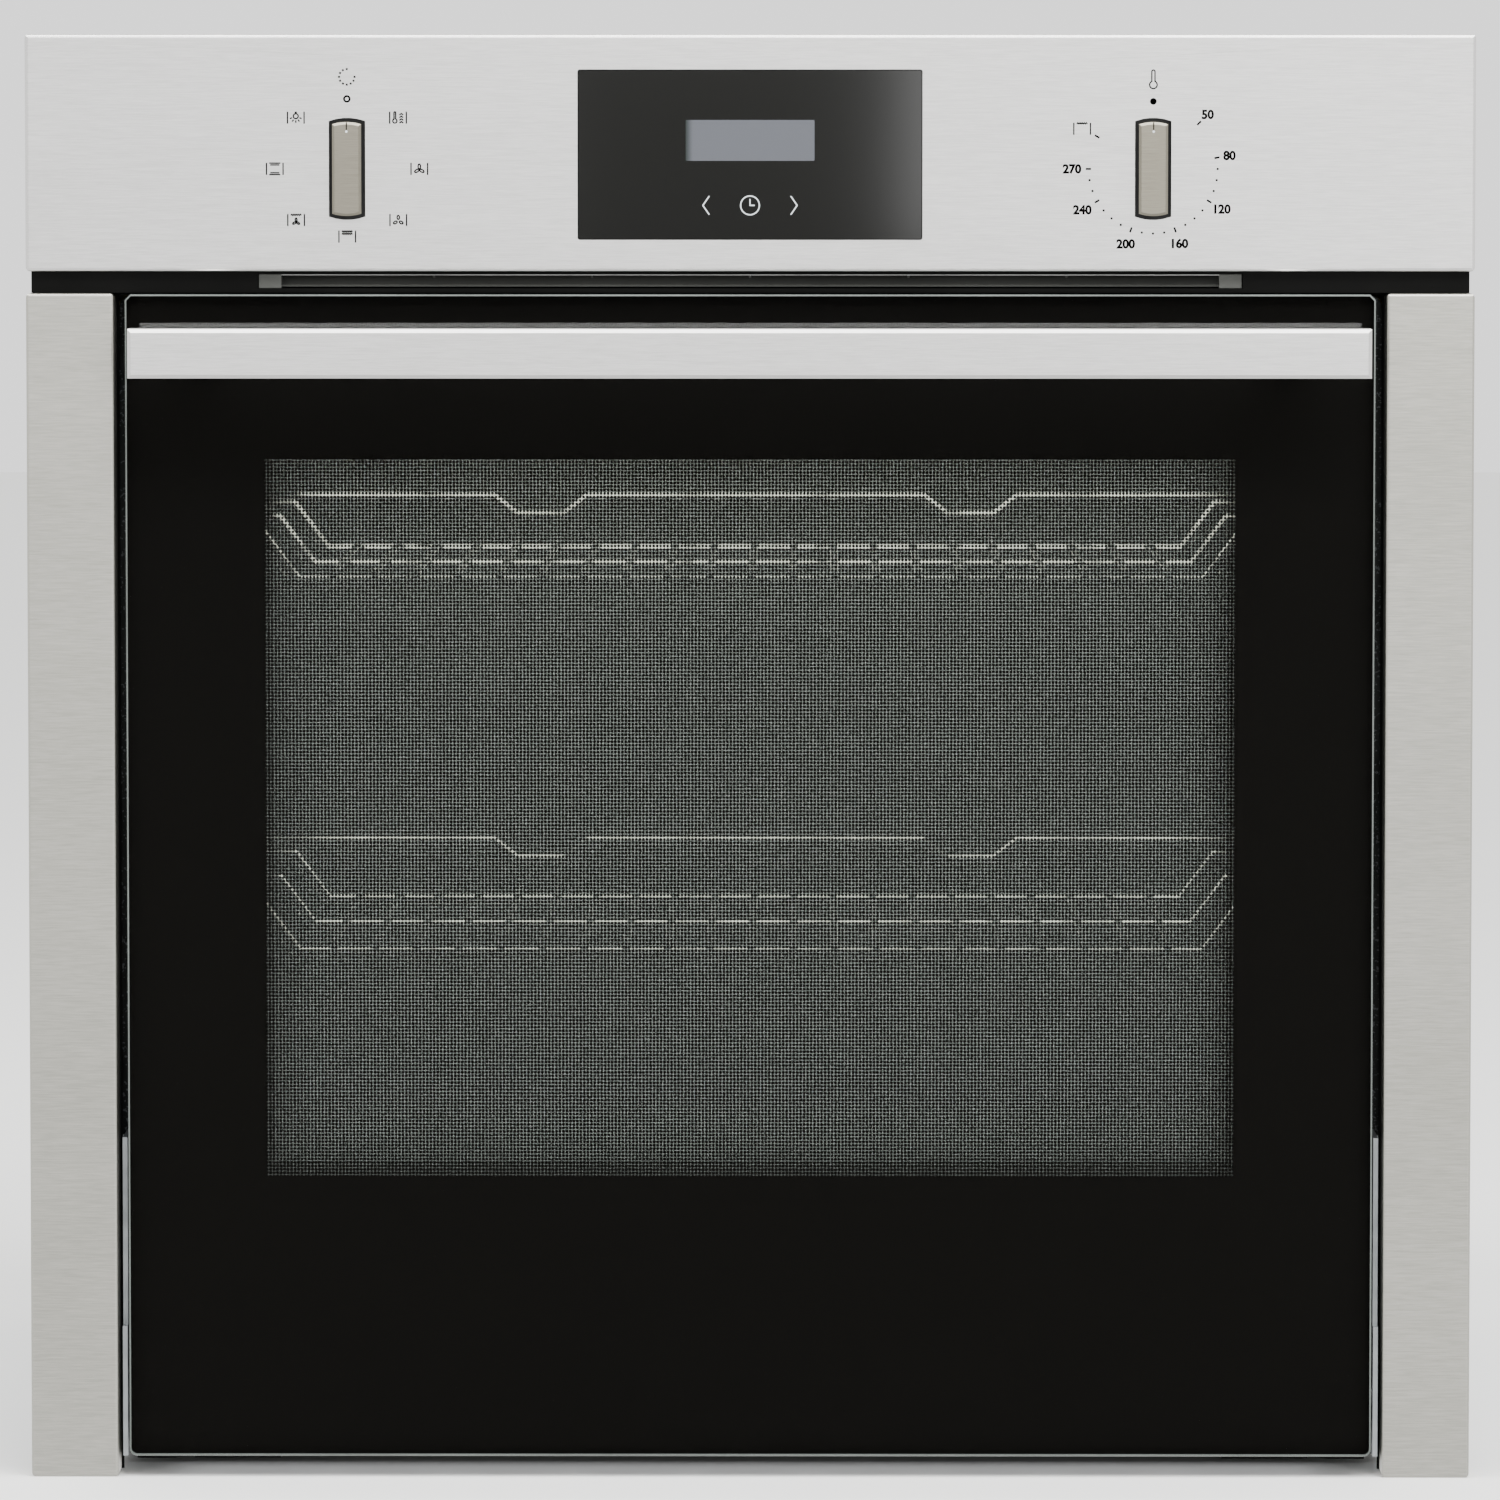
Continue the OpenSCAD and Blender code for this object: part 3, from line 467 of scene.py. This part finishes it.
# A flat round dot: a fan in front, a wall and a fan behind.
def disc(x, z, r, y0, y1, steps=20):
    t = np.linspace(0, 2 * math.pi, steps, endpoint=False)
    rim = np.stack([x + r * np.cos(t), z + r * np.sin(t)], 1)
    points = np.concatenate([np.stack([rim[:, 0], np.full(steps, y), rim[:, 1]], 1) for y in (y0, y1)])
    faces = [f[::-1] for f in gridFaces(2, steps)]
    return points, faces + [list(range(steps)), list(range(2 * steps - 1, steps - 1, -1))]


# Points round a circle from first to last degrees.
def ring(x, z, r, steps=28, first=0.0, last=360.0):
    whole = abs(last - first) >= 360
    t = np.radians(np.linspace(first, last, steps, endpoint=not whole))
    return np.stack([x + r * np.cos(t), z + r * np.sin(t)], 1)


def lineOf(*points):
    return np.array(points, float)


print("building pieces")
mark = {
    "stroke": 0.82,       # mm, width of a printed line
    "symbolStroke": 0.6,  # mm, width of a symbol's lines
    "boldness": 0.065,    # share of a digit's height by which its strokes are widened
    "film": 0.04,         # mm, thickness of the print
    "sink": 0.02,         # mm, how far the print reaches into the panel
    "symbolRadius": 29.6, # mm from the knob's middle
    "lowestRadius": 27.7, # mm, the symbol right below the knob
    "barGap": 6.8,        # mm between the two bars of a symbol
    "barHeight": 5.0,
    "digitHeight": 3.6,
    "capHeight": 0.72,    # share of the font's size that a digit is high
}
functionMarks = {
    "offRing": 28.6,      # mm above the knob's middle
    "offRadius": 1.15,
    "rays": 37.6,         # mm above the knob's middle
    "rayInner": 2.75,
    "rayOuter": 3.6,
    "missingRays": (1, 2),
}
temperatureMarks = {
    "thermometer": 36.6,  # mm above the knob's middle
    "thermometerSize": 7.6,
    "bulb": 1.55,
    "offDot": 27.6,       # mm above the knob's middle
    "offRadius": 1.4,
    "tickInner": 25.4,
    "tickOuter": 27.6,
    "grillAt": (-29.1, 16.4),
    "grillTick": 300,     # degrees
    "dotAt": 26.4,        # mm from the knob's middle
    "dotRadius": 0.5,
    "dots": (90, 100, 110, 130, 140, 150, 170, 180, 190, 210, 220, 230, 250, 260),
    "numbers": ((45, "50", 31.5), (80, "80", 31.7), (120, "120", 32.8), (160, "160", 32.4),
                (200, "200", 32.6), (240, "240", 33.4), (270, "270", 33.2)),
}
knobX = (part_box("function_knob")[0][0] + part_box("function_knob")[1][0]) / 2
knobZ = (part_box("function_knob")[0][2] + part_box("function_knob")[1][2]) / 2
printBlack = grainedCoat("screenPrintedInk", "#030303", "#050505", 0.8, 0.3, shine=0.0)
printWhite = grainedCoat("screenPrintedWhite", "#c9cfd2", "#d5dadd", 0.8, 0.3, shine=0.0)


def barsMark():
    h, g = mark["barHeight"] / 2, mark["barGap"] / 2
    return [(lineOf((s * g, -h), (s * g, h)), False) for s in (-1, 1)]


# Three long loops about a centre: each is an ellipse of half-length size set size out from the middle.
def petals(cx, cz, size, full=True):
    lines = []
    for turn in (90, 210, 330):
        t = np.linspace(0, 2 * math.pi, 18, endpoint=False)
        a = math.radians(turn)
        along = size * 1.15 + size * np.cos(t) if full else size * 1.45 + size * 0.85 * np.cos(t)
        across = size * 0.5 * np.sin(t)
        lines.append((np.stack([cx + along * math.cos(a) - across * math.sin(a),
                                cz + along * math.sin(a) + across * math.cos(a)], 1), True))
    return lines


def zigzag(z, half=2.2, teeth=5, rise=0.45):
    x = np.linspace(-half, half, 2 * teeth + 1)
    return [(np.stack([x, z + rise * (np.arange(2 * teeth + 1) % 2)], 1), False)]


# An outline: three quarters of a bulb, a stem up both sides and a half circle over the top.
def thermometer(cx, cz, size, bulb=1.0):
    low = ring(cx, cz - size * 0.5 + bulb, bulb, 20, 115, 425)
    stem = bulb * 0.42
    top = ring(cx, cz + size * 0.5 - stem, stem, 8, 0, 180)
    return [(np.concatenate([low, top]), True)]


def symbolLamp():
    rays = []
    for a in np.radians([200, 235, 270, 305, 340]):
        ends = [np.array([0, 0.5]) + r * np.array([math.cos(a), math.sin(a)]) for r in (1.55, 2.6)]
        rays.append((lineOf(*ends), False))
    return [(ring(0, 0.6, 1.0), True), (lineOf((-0.5, 2.2), (0.5, 2.2)), False)] + rays


def symbolHeat():
    return [(lineOf((-x, z), (x, z)), False) for x, z in ((2.3, 2.35), (1.9, 1.6), (1.9, -1.6), (2.3, -2.35))]


def symbolChevrons():
    steps = [(lineOf((0.55, z), (1.35, z + 0.6), (2.15, z)), False) for z in (-2.2, -1.1, 0.0, 1.1)]
    return thermometer(-1.3, 0.1, 4.6, 0.85) + steps


functionSymbols = {
    -45: symbolLamp,
    -90: symbolHeat,
    -135: lambda: zigzag(1.9) + petals(0, -0.8, 0.75),
    180: lambda: zigzag(1.9) + zigzag(0.9),
    135: lambda: petals(0, -0.3, 0.95, False),
    90: lambda: petals(0, -0.2, 1.0),
    45: symbolChevrons,
}


def placedLines(lines, x, z, y0, y1, width=None):
    width = (width or mark["stroke"]) * mm
    return [ribbon(np.asarray(p) * mm + [x, z], width, y0, y1, closed) for p, closed in lines]


# Dial numbers in a plain font, centred at x and z, as a thin solid.
def digits(text, x, z, height, y0, y1):
    curve = bpy.data.curves.new("digits", "FONT")
    curve.body = text
    curve.size = height / mark["capHeight"]
    curve.align_x, curve.align_y = "CENTER", "CENTER"
    curve.resolution_u = 3
    curve.offset = mark["boldness"] * height
    curve.extrude = (y1 - y0) / 2
    holder = bpy.data.objects.new("digits", curve)
    bpy.context.collection.objects.link(holder)
    mesh = bpy.data.meshes.new_from_object(holder)
    flat = np.empty(len(mesh.vertices) * 3)
    mesh.vertices.foreach_get("co", flat)
    flat = flat.reshape(-1, 3)
    middle = (flat.min(0) + flat.max(0)) / 2
    points = np.stack([x + flat[:, 0] - middle[0], (y0 + y1) / 2 - flat[:, 2],
                       z + flat[:, 1] - middle[1]], 1)
    faces = [list(p.vertices) for p in mesh.polygons]
    bpy.data.objects.remove(holder)
    bpy.data.meshes.remove(mesh)
    bpy.data.curves.remove(curve)
    return points, faces


# Clockwise from the top, as a dial is read.
def polar(degrees, radius):
    return radius * math.sin(math.radians(degrees)), radius * math.cos(math.radians(degrees))


panelY = panelLow[1]
filmFront, filmBack = panelY - mark["film"] * mm, panelY + mark["sink"] * mm


# Lines printed on the panel, x and z in metres.
def printed(lines, x, z, width=None):
    return placedLines(lines, x, z, filmFront, filmBack, width)


def functionDial():
    m = functionMarks
    parts = []
    for degrees, symbol in functionSymbols.items():
        radius = mark["lowestRadius"] if degrees == 180 else mark["symbolRadius"]
        dx, dz = polar(degrees, radius * mm)
        parts += printed(symbol() + barsMark(), knobX + dx, knobZ + dz, mark["symbolStroke"])
    parts += printed([(ring(0, 0, m["offRadius"]), True)], knobX, knobZ + m["offRing"] * mm)
    for i in range(12):
        if i in m["missingRays"]:
            continue
        inner, outer = (np.array(polar(i * 30, r)) for r in (m["rayInner"], m["rayOuter"]))
        parts += printed([(lineOf(inner, outer), False)], knobX, knobZ + m["rays"] * mm)
    points, faces = joined(parts)
    makePiece("functionDialPrint", points, faces, printBlack, "root")


def tickAt(x, degrees):
    m = temperatureMarks
    ends = [np.array(polar(degrees, r)) for r in (m["tickInner"], m["tickOuter"])]
    return printed([(lineOf(*ends), False)], x, knobZ)


def temperatureDial():
    m = temperatureMarks
    x0 = -knobX
    parts = printed(thermometer(0, 0, m["thermometerSize"], m["bulb"]), x0, knobZ + m["thermometer"] * mm,
                    mark["symbolStroke"])
    parts.append(disc(x0, knobZ + m["offDot"] * mm, m["offRadius"] * mm, filmFront, filmBack))
    for degrees, text, out in m["numbers"]:
        parts += tickAt(x0, degrees)
        dx, dz = polar(degrees, out * mm)
        parts.append(digits(text, x0 + dx, knobZ + dz, mark["digitHeight"] * mm, filmFront, filmBack))
    parts += tickAt(x0, m["grillTick"])
    grillX, grillZ = m["grillAt"]
    parts += printed(zigzag(2.0, 2.2, 5) + barsMark(), x0 + grillX * mm, knobZ + grillZ * mm,
                     mark["symbolStroke"])
    for degrees in m["dots"]:
        dx, dz = polar(degrees, m["dotAt"] * mm)
        parts.append(disc(x0 + dx, knobZ + dz, m["dotRadius"] * mm, filmFront, filmBack, 10))
    points, faces = joined(parts)
    makePiece("temperatureDialPrint", points, faces, printBlack, "root")


functionDial()
temperatureDial()

display = {
    "screenHalf": 26.4,       # mm
    "screenLow": 543.3,
    "screenHigh": 560.0,
    "touchHeight": 525.1,
    "arrowX": 18.0,
    "clockRadius": 4.1,
}
glassLow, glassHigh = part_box("display_glass")


# Segment display behind smoked glass: flat grey-green, with painted shade darkening its left edge.
def displayScreen():
    material, tree, shader, out = newMaterial("segmentDisplayPaintedShade", "#4e5056", 0.3, SpecularIORLevel=0.2)
    point = addNode(tree, "ShaderNodeSeparateXYZ", links={0: objectPoint(tree)})
    # painted shade: the screen's leftmost 3 mm run from near black to its grey-green
    side = spread(tree, point.outputs[0], 0, 1, -display["screenHalf"] * mm, (3 - display["screenHalf"]) * mm)
    tree.links.new(colourBetween(tree, side, "#1c2421", "#505258"), shader.inputs["Base Color"])
    low, high = display["screenLow"] * mm, display["screenHigh"] * mm
    slab("displayScreen", roundRect(0, (low + high) / 2, 2 * display["screenHalf"] * mm, high - low, 0.4 * mm),
         glassLow[1] - 0.05 * mm, glassLow[1] + 0.02 * mm, 0.02 * mm, material, "root")


def touchMarks():
    y0, y1 = glassLow[1] - 0.04 * mm, glassLow[1] + 0.02 * mm
    z = display["touchHeight"] * mm
    arrow = [(lineOf((1.3, 3.8), (-1.3, 0), (1.3, -3.8)), False)]
    back = [(p * [-1, 1], closed) for p, closed in arrow]
    clock = [(ring(0, 0, display["clockRadius"] - 0.25), True), (lineOf((0, 2.6), (0, 0), (1.9, 0)), False)]
    parts = placedLines(arrow, -display["arrowX"] * mm, z, y0, y1, 0.5)
    parts += placedLines(back, display["arrowX"] * mm, z, y0, y1, 0.5)
    parts += placedLines(clock, 0, z, y0, y1, 0.5)
    points, faces = joined(parts)
    makePiece("touchMarks", points, faces, printWhite, "root")


displayScreen()
touchMarks()

knobShape = {
    "thickness": 5.0,      # mm, the cap from front to back
    "chamfer": 1.0,        # mm, bright rim round the cap
    "backEdge": 0.3,       # mm
    "face": 1.5,           # mm, metal left in front of the bore
    "bore": 3.05,          # mm, radius
    "stem": 5.0,           # mm, radius
    "overlap": 0.2,        # mm, the stem's start inside the cap
    "lineWidth": 0.45,     # mm
    "lineEnd": 2.2,        # mm below the chamfer
    "dotAt": 2.9,          # mm below the chamfer
    "dot": 0.5,            # mm, radius of the white dot
}


# Cap: the bar outline with a flat chamfer round its face. Stem: a turned tube behind it.
def barKnob(name, node, body):
    k = {key: value * mm for key, value in knobShape.items()}
    metal = finish["knob_metal"]
    low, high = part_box(node)
    cx, cz = (low[0] + high[0]) / 2, (low[2] + high[2]) / 2
    capBack = low[1] + k["thickness"]
    outline = barOutline(cx, cz, high[0] - low[0], (high[2] - low[2]) / 2)
    cap = slab(name + "Cap", outline, low[1], capBack, k["chamfer"], metal, body, steps=1,
               backBevel=k["backEdge"], bore=(cx, cz, k["bore"], low[1] + k["face"]))
    start, end = -k["overlap"], high[1] - capBack
    profile = [(k["bore"], start), (k["stem"], start), (k["stem"], end), (k["bore"], end), (k["bore"], start)]
    points, faces = turned(profile, (cx, capBack, cz))
    makePiece(name + "Stem", points, faces, metal, body)
    top = high[2] - k["chamfer"]
    points, faces = ribbon(lineOf((cx, high[2] - 0.1 * mm), (cx, top - k["lineEnd"])), k["lineWidth"],
                           low[1] - 0.03 * mm, low[1] + 0.3 * mm)
    makePiece(name + "Line", points, faces, printBlack, body)
    points, faces = disc(cx, top - k["dotAt"], k["dot"], low[1] - 0.05 * mm, low[1] + 0.1 * mm, 14)
    makePiece(name + "Dot", points, faces, printWhite, body)
    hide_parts(node)


barKnob("functionKnob", "function_knob", "function_knob")
barKnob("temperatureKnob", "temperature_knob", "temperature_knob")


paneShape = {
    "topCut": 2.3,         # mm, corner cut off at the top
    "lowRound": 3.0,       # mm, radius of the corners below
    "frontEdge": 0.7,      # mm, ground round along the rim
    "backEdge": 0.5,
    "clear": 0.05,         # mm in front of the side profiles
}
# Ground and polished glass edge: pale grey-green, satin.
groundEdge = grainedCoat("groundGlassEdge", "#4d524f", "#5f6562", 0.25, 0.4)


# The outer pane: its outline has its corners cut off at the top and round below, and its rim is ground to
# a small round that catches the light. Its last two faces, front and back, keep the printed glass.
def doorPane():
    low, high = paneLow, paneHigh
    cut, r = paneShape["topCut"] * mm, paneShape["lowRound"] * mm
    a = np.linspace(0, math.pi / 2, 6)
    right = np.stack([high[0] - r + r * np.sin(a), low[2] + r - r * np.cos(a)], 1)
    outline = np.concatenate([right, [[high[0], high[2] - cut], [high[0] - cut, high[2]],
                                      [low[0] + cut, high[2]], [low[0], high[2] - cut]],
                              (right * [-1, 1])[::-1]])
    pane = slab("doorPane", outline, low[1], high[1] - paneShape["clear"] * mm, paneShape["frontEdge"] * mm,
                finish["door_glass"], "door", backBevel=paneShape["backEdge"] * mm)
    pane.data.materials.append(groundEdge)
    rim = np.ones(len(pane.data.polygons), dtype=np.int32)
    rim[-2:] = 0
    pane.data.polygons.foreach_set("material_index", rim)
    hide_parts("door_outer_glass")


doorPane()


def handleBar():
    edge = 1.5 * mm
    low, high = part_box("handle_bar")
    corners = np.array([[high[0], low[2]], [high[0], high[2]], [low[0], high[2]], [low[0], low[2]]])
    bar = slab("handleBar", corners, low[1], high[1], edge, finish["brushed_steel"], "door",
               steps=1, backBevel=edge)
    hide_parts("handle_bar")


handleBar()


# The folded lip along the top of the outlet slot, which shows as one bright line.
def outletLip():
    low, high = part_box("air_outlet_louvre")
    half, bottom = 0.2, high[2] - 0.45 * mm
    corners = np.array([[half, bottom], [half, high[2]], [-half, high[2]], [-half, bottom]])
    slab("outletLip", corners, low[1] + 0.5 * mm, low[1] + 2.5 * mm, 0.1 * mm, finish["plain_steel"], "root",
         steps=1)


outletLip()


# A pan head: a flattened dome, radius r cos b and height rise sin b, with a dimple in the middle.
def screwHead(place, axis, sign, r=3.6 * mm, rise=2.2 * mm):
    b = np.linspace(0, math.pi / 2, 6)[:-1]
    profile = [(r * math.cos(k), sign * rise * math.sin(k)) for k in b]
    profile += [(r * 0.28, sign * rise), (r * 0.22, sign * rise * 0.45), (0, sign * rise * 0.45)]
    profile = [(r, -sign * 0.2 * mm)] + profile
    points, faces = turned(profile, place, axis, 14)
    return (points, faces) if sign < 0 else (points, [f[::-1] for f in faces])


caseScrewPlaces = {
    "backRowX": (-0.25, -0.12, 0.12, 0.25),
    "backRowZ": (0.02, 0.56),
    "backSideX": (-0.25, 0.25),
    "backSideZ": (0.16, 0.30, 0.44),
    "sideZ": (0.567, 0.022),
    "topX": (-0.255, 0.255),
    "sideEnd": 0.03,       # m from each end of a side sheet
}


def caseScrews():
    c = caseScrewPlaces
    sideLow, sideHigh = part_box("casing_sides")
    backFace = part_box("casing_back")[1][1]
    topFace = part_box("casing_top")[1][2]
    backPlaces = [(x, z) for x in c["backRowX"] for z in c["backRowZ"]]
    backPlaces += [(x, z) for z in c["backSideZ"] for x in c["backSideX"]]
    parts = [screwHead((x, backFace, z), "y", 1) for x, z in backPlaces]
    for y in np.linspace(sideLow[1] + c["sideEnd"], sideHigh[1] - c["sideEnd"], 4):
        for sign, face in ((-1, sideLow[0]), (1, sideHigh[0])):
            parts += [screwHead((face, y, z), "x", sign) for z in c["sideZ"]]
        parts += [screwHead((x, y, topFace), "z", 1) for x in c["topX"]]
    points, faces = joined(parts)
    makePiece("caseScrews", points, faces, finish["plain_steel"], "root")


caseScrews()


# A long pressed rib on a side sheet: height is rise times the squared cosine of the distance to the
# rib's middle line over its half width, zero past it, so both ends come out round.
def pressedRib(y0, y1, z, face, sign, half=9 * mm, rise=2.2 * mm):
    v = np.linspace(-half, half, 13)
    u = np.concatenate([y0 + v[:7], np.linspace(y0, y1, 8)[1:-1], y1 + v[6:]])
    uu, vv = np.meshgrid(u, v, indexing="ij")
    along = np.maximum(np.maximum(y0 - uu, uu - y1), 0)
    away = np.minimum(np.hypot(along, vv) / half, 1)
    height = rise * np.cos(away * math.pi / 2) ** 2
    outer = np.stack([face + sign * (height + 0.05 * mm), uu, z + vv], -1).reshape(-1, 3)
    inner = np.stack([np.full(uu.size, face - sign * 0.3 * mm), uu.ravel(), (z + vv).ravel()], -1)
    n, m = uu.shape
    quads = gridFaces(n, m, closed=False)
    back = [[i + n * m for i in q[::-1]] for q in quads]
    edge = list(range(m)) + [i * m + m - 1 for i in range(1, n)]
    edge += [(n - 1) * m + j for j in range(m - 2, -1, -1)] + [i * m for i in range(n - 2, 0, -1)]
    k = len(edge)
    wall = [[edge[i], edge[i] + n * m, edge[(i + 1) % k] + n * m, edge[(i + 1) % k]] for i in range(k)]
    faces = quads + back + wall
    return np.concatenate([outer, inner]), faces if sign > 0 else [f[::-1] for f in faces]


def sideRibs():
    low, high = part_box("casing_sides")
    parts = []
    for z in (0.12, 0.27, 0.42):
        for sign, face in ((-1, low[0]), (1, high[0])):
            parts.append(pressedRib(low[1] + 0.07, high[1] - 0.06, z, face, sign))
    points, faces = joined(parts)
    makePiece("sideRibs", points, faces, finish["galvanised"], "root", smooth=True)


sideRibs()
print("pieces built")

view = {
    "distance": 4.1,      # m in front of the panel
    "height": 0.60,
    "side": 0.025,
    "aimHeight": 0.3015,
    "lens": 240.0,
}
camera = bpy.data.objects.new("camera", bpy.data.cameras.new("camera"))
bpy.context.collection.objects.link(camera)
camera.location = (view["side"], panelY - view["distance"], view["height"])
aim = np.array([0.0, panelY, view["aimHeight"]])
toward = aim - np.array(camera.location)
camera.rotation_euler = (math.pi / 2 + math.asin(toward[2] / np.linalg.norm(toward)), 0,
                         -math.atan2(toward[0], toward[1]))
camera.data.lens = view["lens"]
camera.data.sensor_width = 36
camera.data.clip_end = 50
bpy.context.scene.camera = camera


def softBox(name, place, target, width, height, power, colour="#ffffff"):
    light = bpy.data.lights.new(name, "AREA")
    light.shape = "RECTANGLE"
    light.size, light.size_y = width, height
    light.energy = power
    light.color = hexToLinear(colour)[:3]
    lamp = bpy.data.objects.new(name, light)
    bpy.context.collection.objects.link(lamp)
    lamp.location = place
    away = np.array(target) - np.array(place)
    # an area light shines along its own -Z: tilt by the angle from straight down, then turn to the target
    tilt = math.atan2(math.hypot(away[0], away[1]), -away[2])
    lamp.rotation_euler = (tilt, 0, -math.atan2(away[0], away[1]))
    lamp.visible_camera = False


studio = {
    "worldStrength": 1.55,
    "wallStrength": 4.0,      # a lit wall above the card, darker to the left, seen only in mirrors
    "wallHalf": 3.5,
    "wallHigh": 3.2,
    "cardY": -6.5,            # m; a black card behind the camera, seen only in mirrors
    "cardHalf": 0.76,
    "cardLow": -1.0,
    "cardHigh": 0.36,
    "tabLeft": -0.30,         # a tab above the card darkens all but the right of the display glass
    "tabRight": 0.12,
    "tabHigh": 0.66,
    "floorHalf": 9.0,
    "cavityLight": 2.4,       # W
}


def flatStage(name, corners, faces, material):
    mesh = bpy.data.meshes.new(name)
    mesh.from_pydata(corners, [], faces)
    mesh.materials.append(material)
    holder = bpy.data.objects.new(name, mesh)
    bpy.context.collection.objects.link(holder)
    return holder


# The four corners of an upright rectangle facing the oven.
def upright(left, right, low, high, y):
    return [(x, y, z) for x, z in ((left, low), (right, low), (right, high), (left, high))]


def mirrorsOnly(holder):
    holder.visible_camera = holder.visible_diffuse = holder.visible_shadow = False
    holder.visible_transmission = False


cardY, cardHigh = studio["cardY"], studio["cardHigh"]
cardPlace = upright(-studio["cardHalf"], studio["cardHalf"], studio["cardLow"], cardHigh, cardY)
tabPlace = [(x, cardY, z) for x, z in
            ((studio["tabLeft"], cardHigh), (studio["tabRight"], cardHigh),
             (studio["tabRight"], studio["tabHigh"]), (studio["tabLeft"], studio["tabHigh"]))]
blackCard = newMaterial("blackCard", "#050505", 1.0, SpecularIORLevel=0.0)[0]
mirrorsOnly(flatStage("darkCard", cardPlace + tabPlace, [(0, 1, 2, 3), (4, 5, 6, 7)], blackCard))
wallMaterial, tree, shader, out = newMaterial("litWall", "#000000", 1.0, SpecularIORLevel=0.0,
                                              EmissionStrength=studio["wallStrength"])
across = addNode(tree, "ShaderNodeSeparateXYZ", links={0: objectPoint(tree)}).outputs[0]
tree.links.new(colourBetween(tree, spread(tree, across, 0, 1, -1.6, 0.2), "#a8a8a8", "#ffffff"),
               shader.inputs["Emission Color"])
wallPlace = upright(-studio["wallHalf"], studio["wallHalf"], cardHigh, studio["wallHigh"], cardY - 0.05)
mirrorsOnly(flatStage("litWall", wallPlace, [(0, 1, 2, 3)], wallMaterial))
half = studio["floorHalf"]
floor = flatStage("floor", [(-half, -half, 0), (half, -half, 0), (half, half, 0), (-half, half, 0)],
                  [(0, 1, 2, 3)], newMaterial("paleFloor", "#efefed", 0.8)[0])
floor.visible_glossy = False

softBox("topLight", (1.3, -2.6, 3.0), (0.2, 0, 0.35), 3.6, 1.2, 160)
softBox("edgeLight", (0, -0.7, 2.6), (0, -0.2, 0.4), 4.0, 1.0, 110)
cavityLow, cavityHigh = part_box("oven_cavity")
cavityY = (cavityLow[1] + cavityHigh[1]) / 2
softBox("cavityLight", (0, cavityY, cavityHigh[2] - 0.028), (0, cavityY, 0), 0.42, 0.34,
        studio["cavityLight"], "#fff6e8")
world = bpy.data.worlds.new("studio")
world.use_nodes = True
world.node_tree.nodes["Background"].inputs[0].default_value = (1, 1, 1, 1)
world.node_tree.nodes["Background"].inputs[1].default_value = studio["worldStrength"]
bpy.context.scene.world = world
